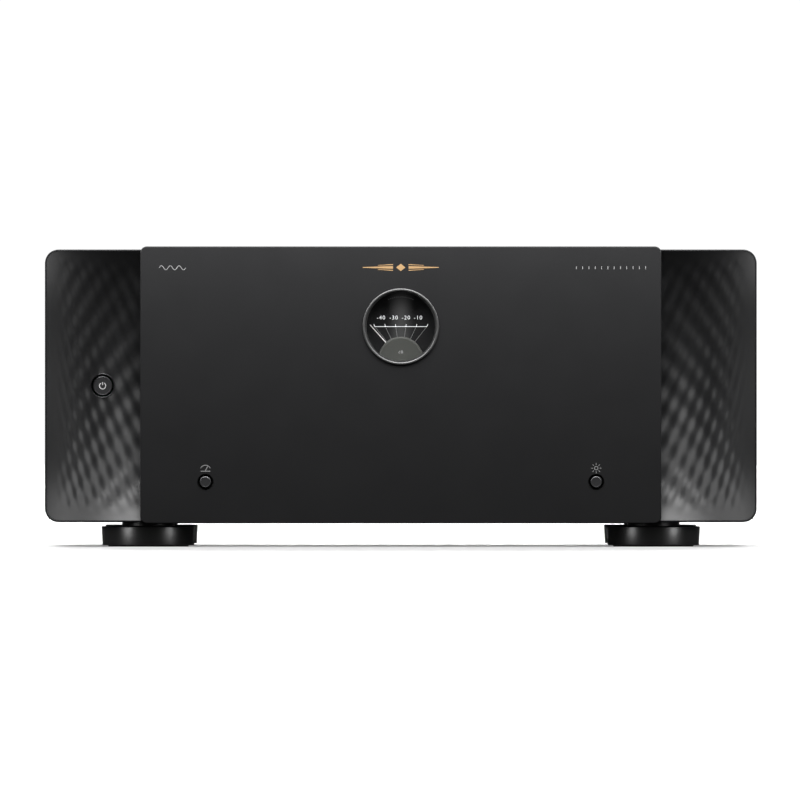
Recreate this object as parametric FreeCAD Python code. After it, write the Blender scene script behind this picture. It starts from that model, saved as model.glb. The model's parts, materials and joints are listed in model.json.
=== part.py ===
"""A full-width home-theatre power amplifier, built as it would come apart on a bench.

Millimetres. X runs to the right as seen from the front, Y towards the back and Z up.
The origin is on the surface that the amplifier stands on, midway across its width and depth.
Every sub-part is written to parts/NAME.step, where NAME is the sub-part's name.
"""

import FreeCAD
import Part
import math
import os

Vector = FreeCAD.Vector

# Overall size
width = 442.0
depth = 453.0
gap = 0.1

# Front plate: it floats in front of the fascia and stands a little above and below it
plate_width = 323.4
plate_bottom = 14.5
plate_top = 186.5
plate_thickness = 5.0
plate_corner = 4.0
bezel_proud = 1.0
plate_front = -depth / 2 + bezel_proud
plate_back = plate_front + plate_thickness

# Fascia: a moulded frame that holds a scooped, textured panel on each side of the plate
fascia_bottom = 15.2
fascia_top = 184.6
fascia_corner = 8.5
fascia_depth = 33.0
fascia_lip = 1.0
fascia_wall = 2.4
lip_depth = 10.5
rim = plate_back + 0.6
fascia_back = rim + fascia_depth
fascia_middle = (fascia_bottom + fascia_top) / 2
web_thickness = 2.5
web_front = fascia_back - web_thickness
boss_radius = 4.0
boss_x = 140.0
boss_heights = (26.0, fascia_middle, 174.0)
stud_radius = 2.0
stud_length = 12.0
guide_depth = 6.0
guide_overlap = (3.0, 11.0)
guide_ends = (32.0, 168.0)

# Scoop of the side panels: a quarter sine across and a parabola upwards, deepest behind the plate's edge
scoop_depth = 26.0
scoop_reach = 72.0
scoop_margin = 0.8
panel_thickness = 3.0

# Meter
meter_height = 136.6
bezel_radius = 23.7
window_radius = 22.2
window_thickness = 2.0
sight_radius = 21.3
pivot_drop = 20.2
pivot_height = meter_height - pivot_drop
needle_length = 28.7
needle_rest = math.radians(-41.7)
needle_width = 0.7
mask_radius = 14.0
dial_front = plate_front + 9.4
dial_thickness = 1.0
housing_half_width = 30.0
housing_bottom = 104.0
housing_top = 166.0
housing_back = plate_front + 28.0
housing_wall = 1.5

# Buttons
small_button_x = 121.3
small_button_height = 40.2
small_button_radius = 3.5
small_guide_radius = 5.0
power_x = -185.3
power_height = fascia_middle
power_radius = 5.95
power_ring_inner = 6.95
power_ring_outer = 7.7
power_travel = 1.5
small_travel = 1.2
switch_reach = 2.0
board_thickness = 1.6
board_front = plate_front + 14.4
power_board_front = web_front - board_thickness

# Case
case_half_width = 219.0
case_bottom = 17.0
case_top = 183.6
cover_sheet = 1.2
cover_corner = 3.0
tray_sheet = 1.5
rear_sheet = 1.5
terminal_reach = 34.0
rear_face = depth / 2 - terminal_reach
rear_inner = rear_face - rear_sheet
cover_overhang = 1.0

# Ventilation slots
top_slot_length = 34.0
top_slot_width = 3.2
top_slot_pitch = 8.0
top_slot_rows = 26
top_slot_columns = (-186.0, -144.0, -63.0, -21.0, 21.0, 63.0, 144.0, 186.0)
top_slot_start = -96.0
side_slot_height = 26.0
side_slot_width = 3.2
side_slot_pitch = 9.0
side_slot_count = 28
side_slot_middle = 58.0

# Feet
foot_x = 157.15
foot_rows = (-166.0, 152.0)
foot_top_radius = 29.1
foot_bottom_radius = 28.5
foot_height = 12.6
pad_height = 0.8
pad_radius = 25.0
neck_radius = 16.35

# Rear connections: one column for each channel
channels = 12
column_pitch = 31.0
first_column = -200.0
xlr_height = 156.0
xlr_flange = (26.0, 31.0, 2.0)
xlr_shell_radius = 11.8
xlr_well_radius = 9.6
xlr_well_depth = 13.0
xlr_core_radius = 7.7
xlr_pin_circle = 3.8
xlr_pin_radius = 1.3
phono_height = 121.5
switch_height = 98.5
plus_height = 70.0
minus_height = 38.0
collar_radius = 9.5
collar_length = 5.5
post_radius = 4.0
post_end = rear_face + 30.5
banana_radius = 2.0
banana_depth = 18.0
cap_radius = 9.25
cap_start = rear_face + 6.0
cap_end = depth / 2
cap_flutes = 12
flute_radius = 1.3
switch_travel = 3.0
inlet_x = 186.0
inlet_height = 46.0
jack_heights = (160.0, 142.0)
input_board_front = rear_inner - 21.3
output_board_front = rear_inner - 13.8

# Heat sinks and boards inside
sink_inner_x = 146.0
sink_base = 6.0
sink_outer_x = 206.0
sink_start = -150.0
sink_end = 138.0
sink_bottom = case_bottom + tray_sheet
sink_top = 168.0
fin_thickness = 2.0
fin_pitch = 12.0
modules_per_side = 6
module_pitch = 47.0


def box(x0, x1, y0, y1, z0, z1):
    """Block between two corners."""
    return Part.makeBox(x1 - x0, y1 - y0, z1 - z0, Vector(x0, y0, z0))


def rod(x, z, radius, y0, y1):
    """Round bar that runs from front to back."""
    return Part.makeCylinder(radius, y1 - y0, Vector(x, y0, z), Vector(0, 1, 0))


def post(x, y, radius, z0, z1):
    """Round bar that stands upright."""
    return Part.makeCylinder(radius, z1 - z0, Vector(x, y, z0))


def edges_along(shape, axis):
    """Straight edges of a shape that are parallel to an axis."""
    found = []
    for edge in shape.Edges:
        if len(edge.Vertexes) == 2:
            run = edge.Vertexes[1].Point.sub(edge.Vertexes[0].Point)
            if run.Length > 0 and run.cross(axis).Length < 1e-6 * run.Length:
                found.append(edge)
    return found


def slab(x0, x1, z0, z1, y0, y1, corner):
    """Upright slab with its four corners rounded, as seen from the front."""
    block = box(x0, x1, y0, y1, z0, z1)
    return block.makeFillet(corner, edges_along(block, Vector(0, 1, 0)))


def face_edges(shape, y):
    """Edges that lie in the plane at one depth."""
    return [edge for edge in shape.Edges if abs(edge.BoundBox.YMin - y) + abs(edge.BoundBox.YMax - y) < 1e-4]


def save(name, *solids):
    """Write one sub-part, as a group where it has several pieces."""
    shape = solids[0] if len(solids) == 1 else Part.makeCompound(list(solids))
    shape.exportStep(f"parts/{name}.step")


def turned(profile, x, z):
    """Solid turned about a front-to-back axis from (radius, depth) corners."""
    corners = [Vector(x + radius, y, z) for radius, y in profile]
    face = Part.Face(Part.makePolygon(corners + corners[:1]))
    return face.revolve(Vector(x, 0, z), Vector(0, 1, 0), 360)


def column_x(channel):
    """Centre of a channel's column of connectors."""
    return first_column + column_pitch * channel


# ---------------------------------------------------------------- front


def front_plate():
    """Aluminium plate with the meter and button holes, and the studs pressed into its back."""
    half = plate_width / 2
    plate = slab(-half, half, plate_bottom, plate_top, plate_front, plate_back, plate_corner)
    plate = plate.makeChamfer(0.5, face_edges(plate, plate_front))
    holes = [rod(0, meter_height, bezel_radius + gap, plate_front - 1, plate_back + 1)]
    for side in (-1, 1):
        x = side * small_button_x
        holes.append(rod(x, small_button_height, small_guide_radius + gap, plate_front - 1, plate_back + 1))
    studs = []
    for side in (-1, 1):
        for z in boss_heights:
            studs.append(rod(side * boss_x, z, stud_radius, plate_back, plate_back + stud_length))
    return [plate.cut(holes)] + studs


def fascia_frame():
    """Moulded frame: outer wall, a web across it, and bosses that carry the plate."""
    half = width / 2
    outer = slab(-half, half, fascia_bottom, fascia_top, rim, fascia_back, fascia_corner)
    outer = outer.makeChamfer(0.4, face_edges(outer, rim))

    def hollow(wall, y0, y1):
        return slab(-half + wall, half - wall, fascia_bottom + wall, fascia_top - wall, y0, y1,
                    fascia_corner - wall)

    frame = outer.cut([
        hollow(fascia_lip, rim - 1, rim + lip_depth),
        hollow(fascia_wall, rim, web_front),
    ])
    bosses = []
    sockets = []
    for side in (-1, 1):
        for z in boss_heights:
            bosses.append(rod(side * boss_x, z, boss_radius, plate_back, web_front + 0.5))
            sockets.append(rod(side * boss_x, z, stud_radius + gap / 2, plate_back - 1,
                               plate_back + stud_length + 1))
    return frame.fuse(bosses).cut(sockets)


def scoop_front(x, rise=0.0):
    """Depth position of the left scoop's skin, where rise is 0 at half height and 1 at the top edge."""
    inward = math.sin(math.pi / 2 * (x + width / 2) / scoop_reach)
    return rim + scoop_depth * inward * (1 - rise**2)


def wave_panel():
    """Left scooped panel. Its skin is a shallow bowl, cut to the fascia's inner outline."""
    first = -width / 2 + scoop_margin
    last = -width / 2 + scoop_reach
    half_height = (fascia_top - fascia_bottom) / 2
    tallest = 1 - scoop_margin / half_height
    columns = 12
    rows = 18
    grid = []
    for i in range(columns + 1):
        x = first + (last - first) * i / columns
        rises = [tallest * (2 * j / rows - 1) for j in range(rows + 1)]
        grid.append([Vector(x, scoop_front(x, rise), fascia_middle + half_height * rise) for rise in rises])
    skin = Part.BSplineSurface()
    skin.interpolate(grid)
    shell = skin.toShape().extrude(Vector(0, panel_thickness, 0))
    inset = fascia_lip + gap
    outline = slab(-width / 2 + inset, 0, fascia_bottom + inset, fascia_top - inset, rim - 5, web_front,
                   fascia_corner - inset)
    return shell.common(outline)


def light_guide(side):
    """Clear strip that throws light from behind the plate's edge onto a side panel."""
    x0, x1 = sorted(side * (plate_width / 2 - overlap) for overlap in guide_overlap)
    return box(x0, x1, plate_back, plate_back + guide_depth, guide_ends[0], guide_ends[1])


def button_ring_set():
    """Ring around the power button, and the guide ring of each small button."""
    face = scoop_front(power_x) - 1.0
    power = turned([(power_ring_inner, face), (power_ring_outer - 0.2, face), (power_ring_outer, face + 0.2),
                    (power_ring_outer, power_board_front), (power_ring_inner, power_board_front)],
                   power_x, power_height)
    rings = [power]
    inner = small_button_radius + 0.15
    for side in (-1, 1):
        rings.append(turned([(inner, plate_front + 0.8), (small_guide_radius, plate_front + 0.8),
                             (small_guide_radius, plate_back + gap), (6.5, plate_back + gap),
                             (6.5, plate_back + 1.4), (inner, plate_back + 1.4)],
                            side * small_button_x, small_button_height))
    return rings


def power_button():
    """Round cap on a short stem that reaches its switch inside the ring."""
    face = scoop_front(power_x) - 1.3
    stem_end = power_board_front - switch_reach - power_travel - 0.1
    back = stem_end - 1.0
    return turned([(0, face), (power_radius - 0.4, face), (power_radius, face + 0.4), (power_radius, back),
                   (2.5, back), (2.5, stem_end), (0, stem_end)],
                  power_x, power_height)


def small_button(side):
    """Round cap, kept in its guide by a collar behind it, on a stem that reaches its switch."""
    face = plate_front - 0.6
    collar = plate_back + 1.8
    stem_end = board_front - switch_reach - small_travel - 0.2
    radius = small_button_radius
    return turned([(0, face), (radius - 0.4, face), (radius, face + 0.4), (radius, collar),
                   (4.5, collar), (4.5, collar + 1.0), (2.0, collar + 1.0), (2.0, stem_end), (0, stem_end)],
                  side * small_button_x, small_button_height)


def control_boards():
    """Front circuit boards with a push switch behind each button."""
    boards = [box(-132, 132, board_front, board_front + board_thickness, 27, 53)]
    places = [(-small_button_x, small_button_height, board_front),
              (small_button_x, small_button_height, board_front),
              (power_x, power_height, power_board_front)]
    for x, z, front in places:
        boards.append(box(x - 3, x + 3, front - switch_reach + 0.6, front, z - 3, z + 3))
        boards.append(rod(x, z, 1.7, front - switch_reach, front - switch_reach + 0.6))
    boards.append(box(power_x - 14, power_x + 14, power_board_front, power_board_front + board_thickness,
                      power_height - 11, power_height + 11))
    for x in (-124, -42, 62, 124):
        boards.append(rod(x, small_button_height + 9, 2.5, board_front + board_thickness, web_front))
    for x in (-60, -20, 40, 85):
        boards.append(box(x - 6, x + 6, board_front + board_thickness, board_front + board_thickness + 2.4, 34, 46))
    return boards


# ---------------------------------------------------------------- meter


def meter_bezel():
    """Ring that frames the window, with a step that seats the glass and a flange behind the plate."""
    front = plate_front - bezel_proud
    seat = plate_front - 0.3 + window_thickness
    end = plate_back + 1.05
    return turned([(window_radius + 0.3, front), (window_radius + 0.05, front + 0.5),
                   (window_radius + 0.05, seat), (sight_radius, seat), (sight_radius, end), (25.4, end),
                   (25.4, plate_back + 0.05), (bezel_radius, plate_back + 0.05),
                   (bezel_radius, front + 0.5), (bezel_radius - 0.35, front)], 0, meter_height)


def meter_window():
    """Flat glass disc."""
    front = plate_front - 0.3
    return rod(0, meter_height, window_radius, front, front + window_thickness)


def meter_housing():
    """Box behind the plate, open at the front, with a ledge that the dial rests on."""
    front = plate_back + 0.2
    outer = slab(-housing_half_width, housing_half_width, housing_bottom, housing_top, front, housing_back, 4.0)
    wall = housing_wall
    wide = slab(-housing_half_width + wall, housing_half_width - wall, housing_bottom + wall,
                housing_top - wall, front - 1, dial_front + dial_thickness, 2.5)
    ledge = wall + 2.5
    narrow = slab(-housing_half_width + ledge, housing_half_width - ledge, housing_bottom + ledge,
                  housing_top - ledge, front, housing_back - wall, 1.5)
    return outer.cut([wide, narrow])


def meter_dial():
    """Printed dial, with a hole for the needle's spindle."""
    wall = housing_wall + gap
    plate = slab(-housing_half_width + wall, housing_half_width - wall, housing_bottom + wall,
                 housing_top - wall, dial_front, dial_front + dial_thickness, 2.3)
    return plate.cut(rod(0, pivot_height, 1.8, dial_front - 1, dial_front + dial_thickness + 1))


def meter_mask():
    """Part-round cover over the needle's pivot, on two legs that stand on the dial."""
    front = dial_front - 3.0
    back = front + 0.8
    disc = rod(0, pivot_height, mask_radius, front, back)
    floor = pivot_height - 8.5
    disc = disc.cut(box(-20, 20, front - 1, back + 1, floor - 20, floor))
    legs = [rod(side * 8.5, pivot_height - 7.0, 1.0, back - 0.3, dial_front) for side in (-1, 1)]
    return disc.fuse(legs)


def meter_needle():
    """Pointer, hub, spindle and balance weight, leaning to the left as it rests at zero."""
    front = dial_front - 1.6
    half = needle_width / 2
    outline = [Vector(-half, front, 0), Vector(half, front, 0), Vector(half * 0.7, front, needle_length),
               Vector(-half * 0.7, front, needle_length), Vector(-half, front, 0)]
    pointer = Part.Face(Part.makePolygon(outline)).extrude(Vector(0, 0.4, 0))
    tail = box(-0.5, 0.5, front, front + 0.4, -6.0, 0)
    weight = rod(0, -6.0, 1.2, front - 0.2, front + 0.8)
    hub = rod(0, 0, 2.0, front - 0.2, front + 1.0)
    spindle = rod(0, 0, 0.7, front, dial_front + 12.0)
    needle = pointer.fuse([tail, weight, hub, spindle])
    needle.rotate(Vector(0, 0, 0), Vector(0, 1, 0), math.degrees(needle_rest))
    needle.translate(Vector(0, 0, pivot_height))
    return needle


def meter_movement():
    """Magnet yoke and its bearing block, bored for the spindle."""
    back = housing_back - housing_wall
    front = dial_front + dial_thickness + 2.0
    yoke = box(-13, 13, front, back, pivot_height - 7, pivot_height + 15)
    coil_room = rod(0, pivot_height + 6, 5.0, front - 1, front + 6)
    return yoke.cut([rod(0, pivot_height, 0.75, front - 1, back - 1.0), coil_room])


# ---------------------------------------------------------------- case


def base_tray():
    """Folded steel tray: floor, side flanges, rear flange and a full-height front wall."""
    half = case_half_width - cover_sheet - 0.2
    sheet = tray_sheet
    front = fascia_back + gap
    back = rear_inner - gap
    floor = box(-half, half, front, back, case_bottom, case_bottom + sheet)
    walls = [
        box(-half, half, front, front + sheet, case_bottom, 178.0),
        box(-half, half, back - sheet, back, case_bottom, case_bottom + 8.0),
        box(-half, -half + sheet, front, back, case_bottom, case_bottom + 14.0),
        box(half - sheet, half, front, back, case_bottom, case_bottom + 14.0),
    ]
    vents = []
    for i in range(12):
        for side in (-1, 1):
            y = -60.0 + 14.0 * i
            middle = box(side * 95.0 - 25, side * 95.0 + 25, y, y + 3.0, case_bottom - 1, case_bottom + sheet + 1)
            vents.append(middle)
    return floor.fuse(walls).cut(vents)


def top_slots():
    """Cutters for the slots over the heat sinks and the power supply."""
    cutters = []
    for x in top_slot_columns:
        for i in range(top_slot_rows):
            y = top_slot_start + top_slot_pitch * i
            cutters.append(box(x - top_slot_length / 2, x + top_slot_length / 2, y, y + top_slot_width,
                               case_top - 5, case_top + 1))
    return cutters


def side_slots(side):
    """Cutters for the row of upright slots low in one side wall."""
    cutters = []
    x0 = side * case_half_width - 3.0
    for i in range(side_slot_count):
        y = -126.0 + side_slot_pitch * i
        cutters.append(box(x0, x0 + 6.0, y, y + side_slot_width, side_slot_middle - side_slot_height / 2,
                           side_slot_middle + side_slot_height / 2))
    return cutters


def top_cover():
    """One sheet folded down both sides, slotted over the parts that get warm."""
    half = case_half_width
    start = fascia_back + gap
    end = rear_face + cover_overhang
    outer = box(-half, half, start, end, case_bottom, case_top)
    top_edges = [e for e in edges_along(outer, Vector(0, 1, 0)) if e.BoundBox.ZMin > case_top - 1]
    outer = outer.makeFillet(cover_corner, top_edges)
    sheet = cover_sheet
    inner = box(-half + sheet, half - sheet, start - 1, end + 1, case_bottom - 1, case_top - sheet)
    inner_edges = [e for e in edges_along(inner, Vector(0, 1, 0)) if e.BoundBox.ZMin > case_top - 5]
    inner = inner.makeFillet(cover_corner - sheet, inner_edges)
    return outer.cut(inner).cut(top_slots() + side_slots(-1) + side_slots(1))


def rear_panel():
    """Steel panel pierced for every connector, with a vent beside the channels."""
    half = case_half_width - cover_sheet - 0.2
    y0 = rear_inner
    y1 = rear_face
    panel = box(-half, half, y0, y1, case_bottom, case_top - cover_sheet - 0.2)
    top = [edge for edge in edges_along(panel, Vector(0, 1, 0)) if edge.BoundBox.ZMin > case_bottom + 1]
    panel = panel.makeFillet(cover_corner, top)
    cuts = []
    for channel in range(channels):
        x = column_x(channel)
        cuts.append(rod(x, xlr_height, xlr_shell_radius + 0.1, y0 - 1, y1 + 1))
        cuts.append(rod(x, phono_height, 4.8, y0 - 1, y1 + 1))
        cuts.append(rod(x, plus_height, post_radius + 0.2, y0 - 1, y1 + 1))
        cuts.append(rod(x, minus_height, post_radius + 0.2, y0 - 1, y1 + 1))
    for x in switch_places():
        cuts.append(box(x - 5.2, x + 5.2, y0 - 1, y1 + 1, switch_height - 2.4, switch_height + 2.4))
    for z in jack_heights:
        cuts.append(rod(inlet_x, z, 3.1, y0 - 1, y1 + 1))
    cuts.append(box(inlet_x - 14.0, inlet_x + 14.0, y0 - 1, y1 + 1, inlet_height - 10.3, inlet_height + 10.3))
    for i in range(6):
        z = 78.0 + 8.0 * i
        cuts.append(box(inlet_x - 18, inlet_x + 18, y0 - 1, y1 + 1, z, z + 3.2))
    return panel.cut(cuts)


def foot(x, y):
    """Turned foot with a neck up to the tray, and the soft pad under it."""
    disc = Part.makeCone(foot_bottom_radius, foot_top_radius, foot_height - pad_height, Vector(x, y, pad_height))
    disc = disc.makeChamfer(0.4, disc.Edges)
    neck = post(x, y, neck_radius, foot_height - 0.5, case_bottom)
    return [disc.fuse(neck), post(x, y, pad_radius, 0, pad_height)]


def pan_screw(tip, outward, radius, length):
    """Screw with a low round head: tip is where its head meets the sheet, outward points away from it."""
    shank = Part.makeCylinder(radius, length, tip, outward * -1)
    head = Part.makeCylinder(radius * 2.0, radius * 1.1, tip, outward)
    head = head.makeFillet(radius * 0.5, [e for e in head.Edges if e.Vertexes[0].Point.sub(tip).dot(outward) > 0.1])
    recess = Part.makeCylinder(radius * 0.6, radius * 0.8, tip + outward * (radius * 0.4), outward)
    return head.cut(recess).fuse(shank)


def screw_places():
    """Where the case screws go, with the way each points out."""
    places = []
    for side in (-1, 1):
        for y in (-150.0, -20.0, 110.0, 170.0):
            places.append((Vector(side * case_half_width, y, case_bottom + 8.0), Vector(side, 0, 0)))
    for x in (-212.0, -108.0, 0.0, 108.0, 212.0):
        places.append((Vector(x, rear_face, 177.5), Vector(0, 1, 0)))
    for x in (-212.0, -46.0, 78.0, 212.0):
        places.append((Vector(x, rear_face, case_bottom + 4.5), Vector(0, 1, 0)))
    return places


def case_screws():
    """Screws that hold the cover and the rear panel."""
    return [pan_screw(place, outward, 1.5, 5.0) for place, outward in screw_places()]


def drill_for_screws(shape):
    """Clearance holes where the case screws pass through a sheet."""
    drills = []
    for place, outward in screw_places():
        drills.append(Part.makeCylinder(1.55, 6.0, place + outward * 0.5, outward * -1))
    return shape.cut(drills)


# ---------------------------------------------------------------- rear connections


def xlr_socket(x):
    """Panel socket: a shell with a square flange, and inside it a round core with three contact holes."""
    z = xlr_height
    flange_width, flange_height, flange_thickness = xlr_flange
    face = rear_face + flange_thickness
    start = input_board_front + board_thickness
    flange = slab(x - flange_width / 2, x + flange_width / 2, z - flange_height / 2, z + flange_height / 2,
                  rear_face, face, 3.0)
    barrel = rod(x, z, xlr_shell_radius, start, rear_face + 0.5)
    tab = box(x - 4.0, x + 4.0, face - 0.5, face + 1.2, z + 10.4, z + 14.2)
    screw_holes = [rod(x + side * 9.5, z + side * 12.0, 1.6, rear_face - 1, face + 1) for side in (-1, 1)]
    shell = flange.fuse([barrel, tab]).cut(screw_holes + [rod(x, z, xlr_well_radius, start - 1, face + 1)])
    pins = []
    for angle in (30, 150, 270):
        turn = math.radians(angle)
        pins.append(rod(x + xlr_pin_circle * math.cos(turn), z + xlr_pin_circle * math.sin(turn),
                        xlr_pin_radius, face - xlr_well_depth + 1, face + 1))
    base = rod(x, z, xlr_well_radius - 0.05, start, face - xlr_well_depth)
    core = rod(x, z, xlr_core_radius, start, face).fuse(base).cut(pins)
    return [shell, core]


def phono_jack(x):
    """Phono socket: washer, barrel and insulated centre hole."""
    z = phono_height
    start = input_board_front + board_thickness
    return turned([(1.6, rear_face + 10.5), (4.15, rear_face + 10.5), (4.15, rear_face + 1.5),
                   (5.8, rear_face + 1.5), (5.8, rear_face), (4.7, rear_face), (4.7, start),
                   (0, start), (0, rear_face + 1.5), (1.6, rear_face + 1.5)], x, z)


def trigger_jack(z):
    """Small control jack in a ribbed bush."""
    return turned([(1.8, rear_face + 2.6), (4.2, rear_face + 2.6), (4.2, rear_face), (3.0, rear_face),
                   (3.0, rear_face - 16.0), (0, rear_face - 16.0), (0, rear_face - 12.4), (1.8, rear_face - 12.4)],
                  inlet_x, z)


def binding_post(x, z):
    """Threaded speaker post bored for a plug, with its collar outside the panel and a nut inside."""
    inside = rear_inner - 14.0
    stud = rod(x, z, post_radius, inside, post_end)
    wire_hole = Part.makeCylinder(1.8, 20, Vector(x, rear_face + 8.2, z - 10))
    stud = stud.cut([rod(x, z, banana_radius, post_end - banana_depth, post_end + 1), wire_hole])
    collar = rod(x, z, collar_radius, rear_face, rear_face + collar_length)
    collar = collar.makeChamfer(0.6, face_edges(collar, rear_face + collar_length))
    collar = collar.cut(rod(x, z, post_radius + 0.05, rear_face - 1, rear_face + 10))
    nut = rod(x, z, 7.0, rear_inner - 5.0, rear_inner - 0.1)
    nut = nut.cut(rod(x, z, post_radius + 0.05, rear_inner - 6, rear_inner + 1))
    return [stud, collar, nut]


def speaker_cap(x, z):
    """Fluted cap that clamps a wire against the collar, open right through for the post and a plug."""
    bore = post_radius + 0.08
    cap = turned([(bore, cap_start), (cap_radius - 0.6, cap_start), (cap_radius, cap_start + 0.6),
                  (cap_radius, cap_end - 1.2), (cap_radius - 1.2, cap_end), (bore + 0.4, cap_end),
                  (bore, cap_end - 0.4)], x, z)
    flutes = []
    reach = cap_radius + flute_radius * 0.45
    for i in range(cap_flutes):
        turn = 2 * math.pi * i / cap_flutes
        flutes.append(rod(x + reach * math.cos(turn), z + reach * math.sin(turn), flute_radius,
                          cap_start + 4.0, cap_end + 1))
    return cap.cut(flutes)


def switch_places():
    """Middle of each pair of channels, where that pair's mode switch sits."""
    return [(column_x(i) + column_x(i + 1)) / 2 for i in range(0, channels, 2)]


def mode_switch_body(x):
    """Fixed part of a slide switch, open towards the panel."""
    start = input_board_front + board_thickness
    body = box(x - 7.5, x + 7.5, start, rear_inner - 0.1, switch_height - 4.0, switch_height + 4.0)
    return body.cut(box(x - 5.4, x + 5.4, rear_inner - 5.0, rear_inner + 1, switch_height - 2.3, switch_height + 2.3))


def mode_switch_knob(x):
    """Sliding part of a switch, reaching out through the panel."""
    knob = box(x - 1.9, x + 1.9, rear_inner - 4.8, rear_face + 2.0, switch_height - 2.0, switch_height + 2.0)
    return knob.makeChamfer(0.4, face_edges(knob, rear_face + 2.0))


def mains_inlet():
    """Three-pin mains inlet: flange, well and blades."""
    x = inlet_x
    z = inlet_height
    face = rear_face + 2.5
    floor = face - 16.5
    flange = slab(x - 24.5, x + 24.5, z - 11.5, z + 11.5, rear_face, face, 4.0)
    shell = box(x - 13.6, x + 13.6, floor - 2.5, rear_face + 0.5, z - 9.9, z + 9.9)
    well = box(x - 12.1, x + 12.1, floor, face + 1, z - 8.1, z + 8.1)
    top = [e for e in edges_along(well, Vector(0, 1, 0)) if e.BoundBox.ZMin > z]
    well = well.makeChamfer(4.5, top)
    screw_holes = [rod(x + side * 20.0, z, 1.7, rear_face - 1, face + 1) for side in (-1, 1)]
    body = flange.fuse(shell).cut([well] + screw_holes)
    blades = []
    for dx, dz in ((-7.0, -2.0), (7.0, -2.0), (0.0, 2.0)):
        blades.append(box(x + dx - 1.0, x + dx + 1.0, floor - 8.0, face - 2.5, z + dz - 2.0, z + dz + 2.0))
    return [body.cut(blades)] + blades


# ---------------------------------------------------------------- inside


def input_board():
    """Board behind the line sockets, carrying the mode switches' fixed parts."""
    y0 = input_board_front
    board = box(first_column - 16, column_x(channels - 1) + 16, y0, y0 + board_thickness, 90, 178)
    chips = [box(column_x(i) - 7, column_x(i) + 7, y0 - 3, y0, 104, 114) for i in range(channels)]
    return [board] + chips + [mode_switch_body(x) for x in switch_places()]


def heat_sink(side):
    """Extruded heat sink: an upright base with fins that stand out from it towards the case wall."""
    inner = side * sink_inner_x
    base_outer = side * (sink_inner_x + sink_base)
    tip = side * sink_outer_x
    base = box(min(inner, base_outer), max(inner, base_outer), sink_start, sink_end, sink_bottom, sink_top)
    fins = []
    y = sink_start
    while y + fin_thickness <= sink_end:
        fins.append(box(min(inner, tip), max(inner, tip), y, y + fin_thickness, sink_bottom, sink_top))
        y += fin_pitch
    return base.fuse(fins).removeSplitter()


def amplifier_module(side, place):
    """One channel's output board, flat against its heat sink, with its coil and capacitors."""
    y = sink_start + 4.0 + module_pitch * place
    face = side * (sink_inner_x - 0.2)
    back = side * (sink_inner_x - 0.2 - board_thickness)
    parts = [box(min(face, back), max(face, back), y, y + 42.0, 44.0, 158.0)]
    for z, radius, reach in ((70.0, 11.0, 16.0), (104.0, 8.0, 20.0), (132.0, 8.0, 20.0)):
        direction = Vector(-side, 0, 0)
        parts.append(Part.makeCylinder(radius, reach, Vector(back, y + 21.0, z), direction))
    return parts


def amplifier_boards():
    """Every channel's module, and the output board that the speaker posts are fixed to."""
    parts = []
    for side in (-1, 1):
        for place in range(modules_per_side):
            parts += amplifier_module(side, place)
    y0 = output_board_front
    board = box(first_column - 12, column_x(channels - 1) + 12, y0, y0 + board_thickness, 26, 82)
    holes = []
    for channel in range(channels):
        for z in (plus_height, minus_height):
            holes.append(rod(column_x(channel), z, post_radius + 0.1, y0 - 1, y0 + 3))
    parts.append(board.cut(holes))
    return parts


def power_supply():
    """Switching supply: board on pillars, two transformers, reservoir capacitors and its heat sink."""
    floor = case_bottom + tray_sheet
    top = floor + 9.6
    parts = [box(-112, 112, -150, 128, floor + 8.0, top)]
    for x in (-104, 104):
        for y in (-142, 120):
            parts.append(post(x, y, 3.0, floor, floor + 8.0))
    for x in (-40, 40):
        core = box(x - 28, x + 28, -30, 28, top, top + 46)
        window = [box(x - 29, x + 29, -16, -6, top + 9, top + 37), box(x - 29, x + 29, 4, 14, top + 9, top + 37)]
        parts.append(core.cut(window))
    for x in (-84, -50, -16, 18, 52, 86):
        for y in (62, 98):
            parts.append(post(x, y, 15.0, top, top + 50))
    comb = [box(-90, 90, -112, -106, top, top + 42)]
    for i in range(10):
        x = -88.0 + 19.0 * i
        comb.append(box(x, x + 2.5, -130, -88, top, top + 42))
    parts.append(comb[0].fuse(comb[1:]).removeSplitter())
    return parts


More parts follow.
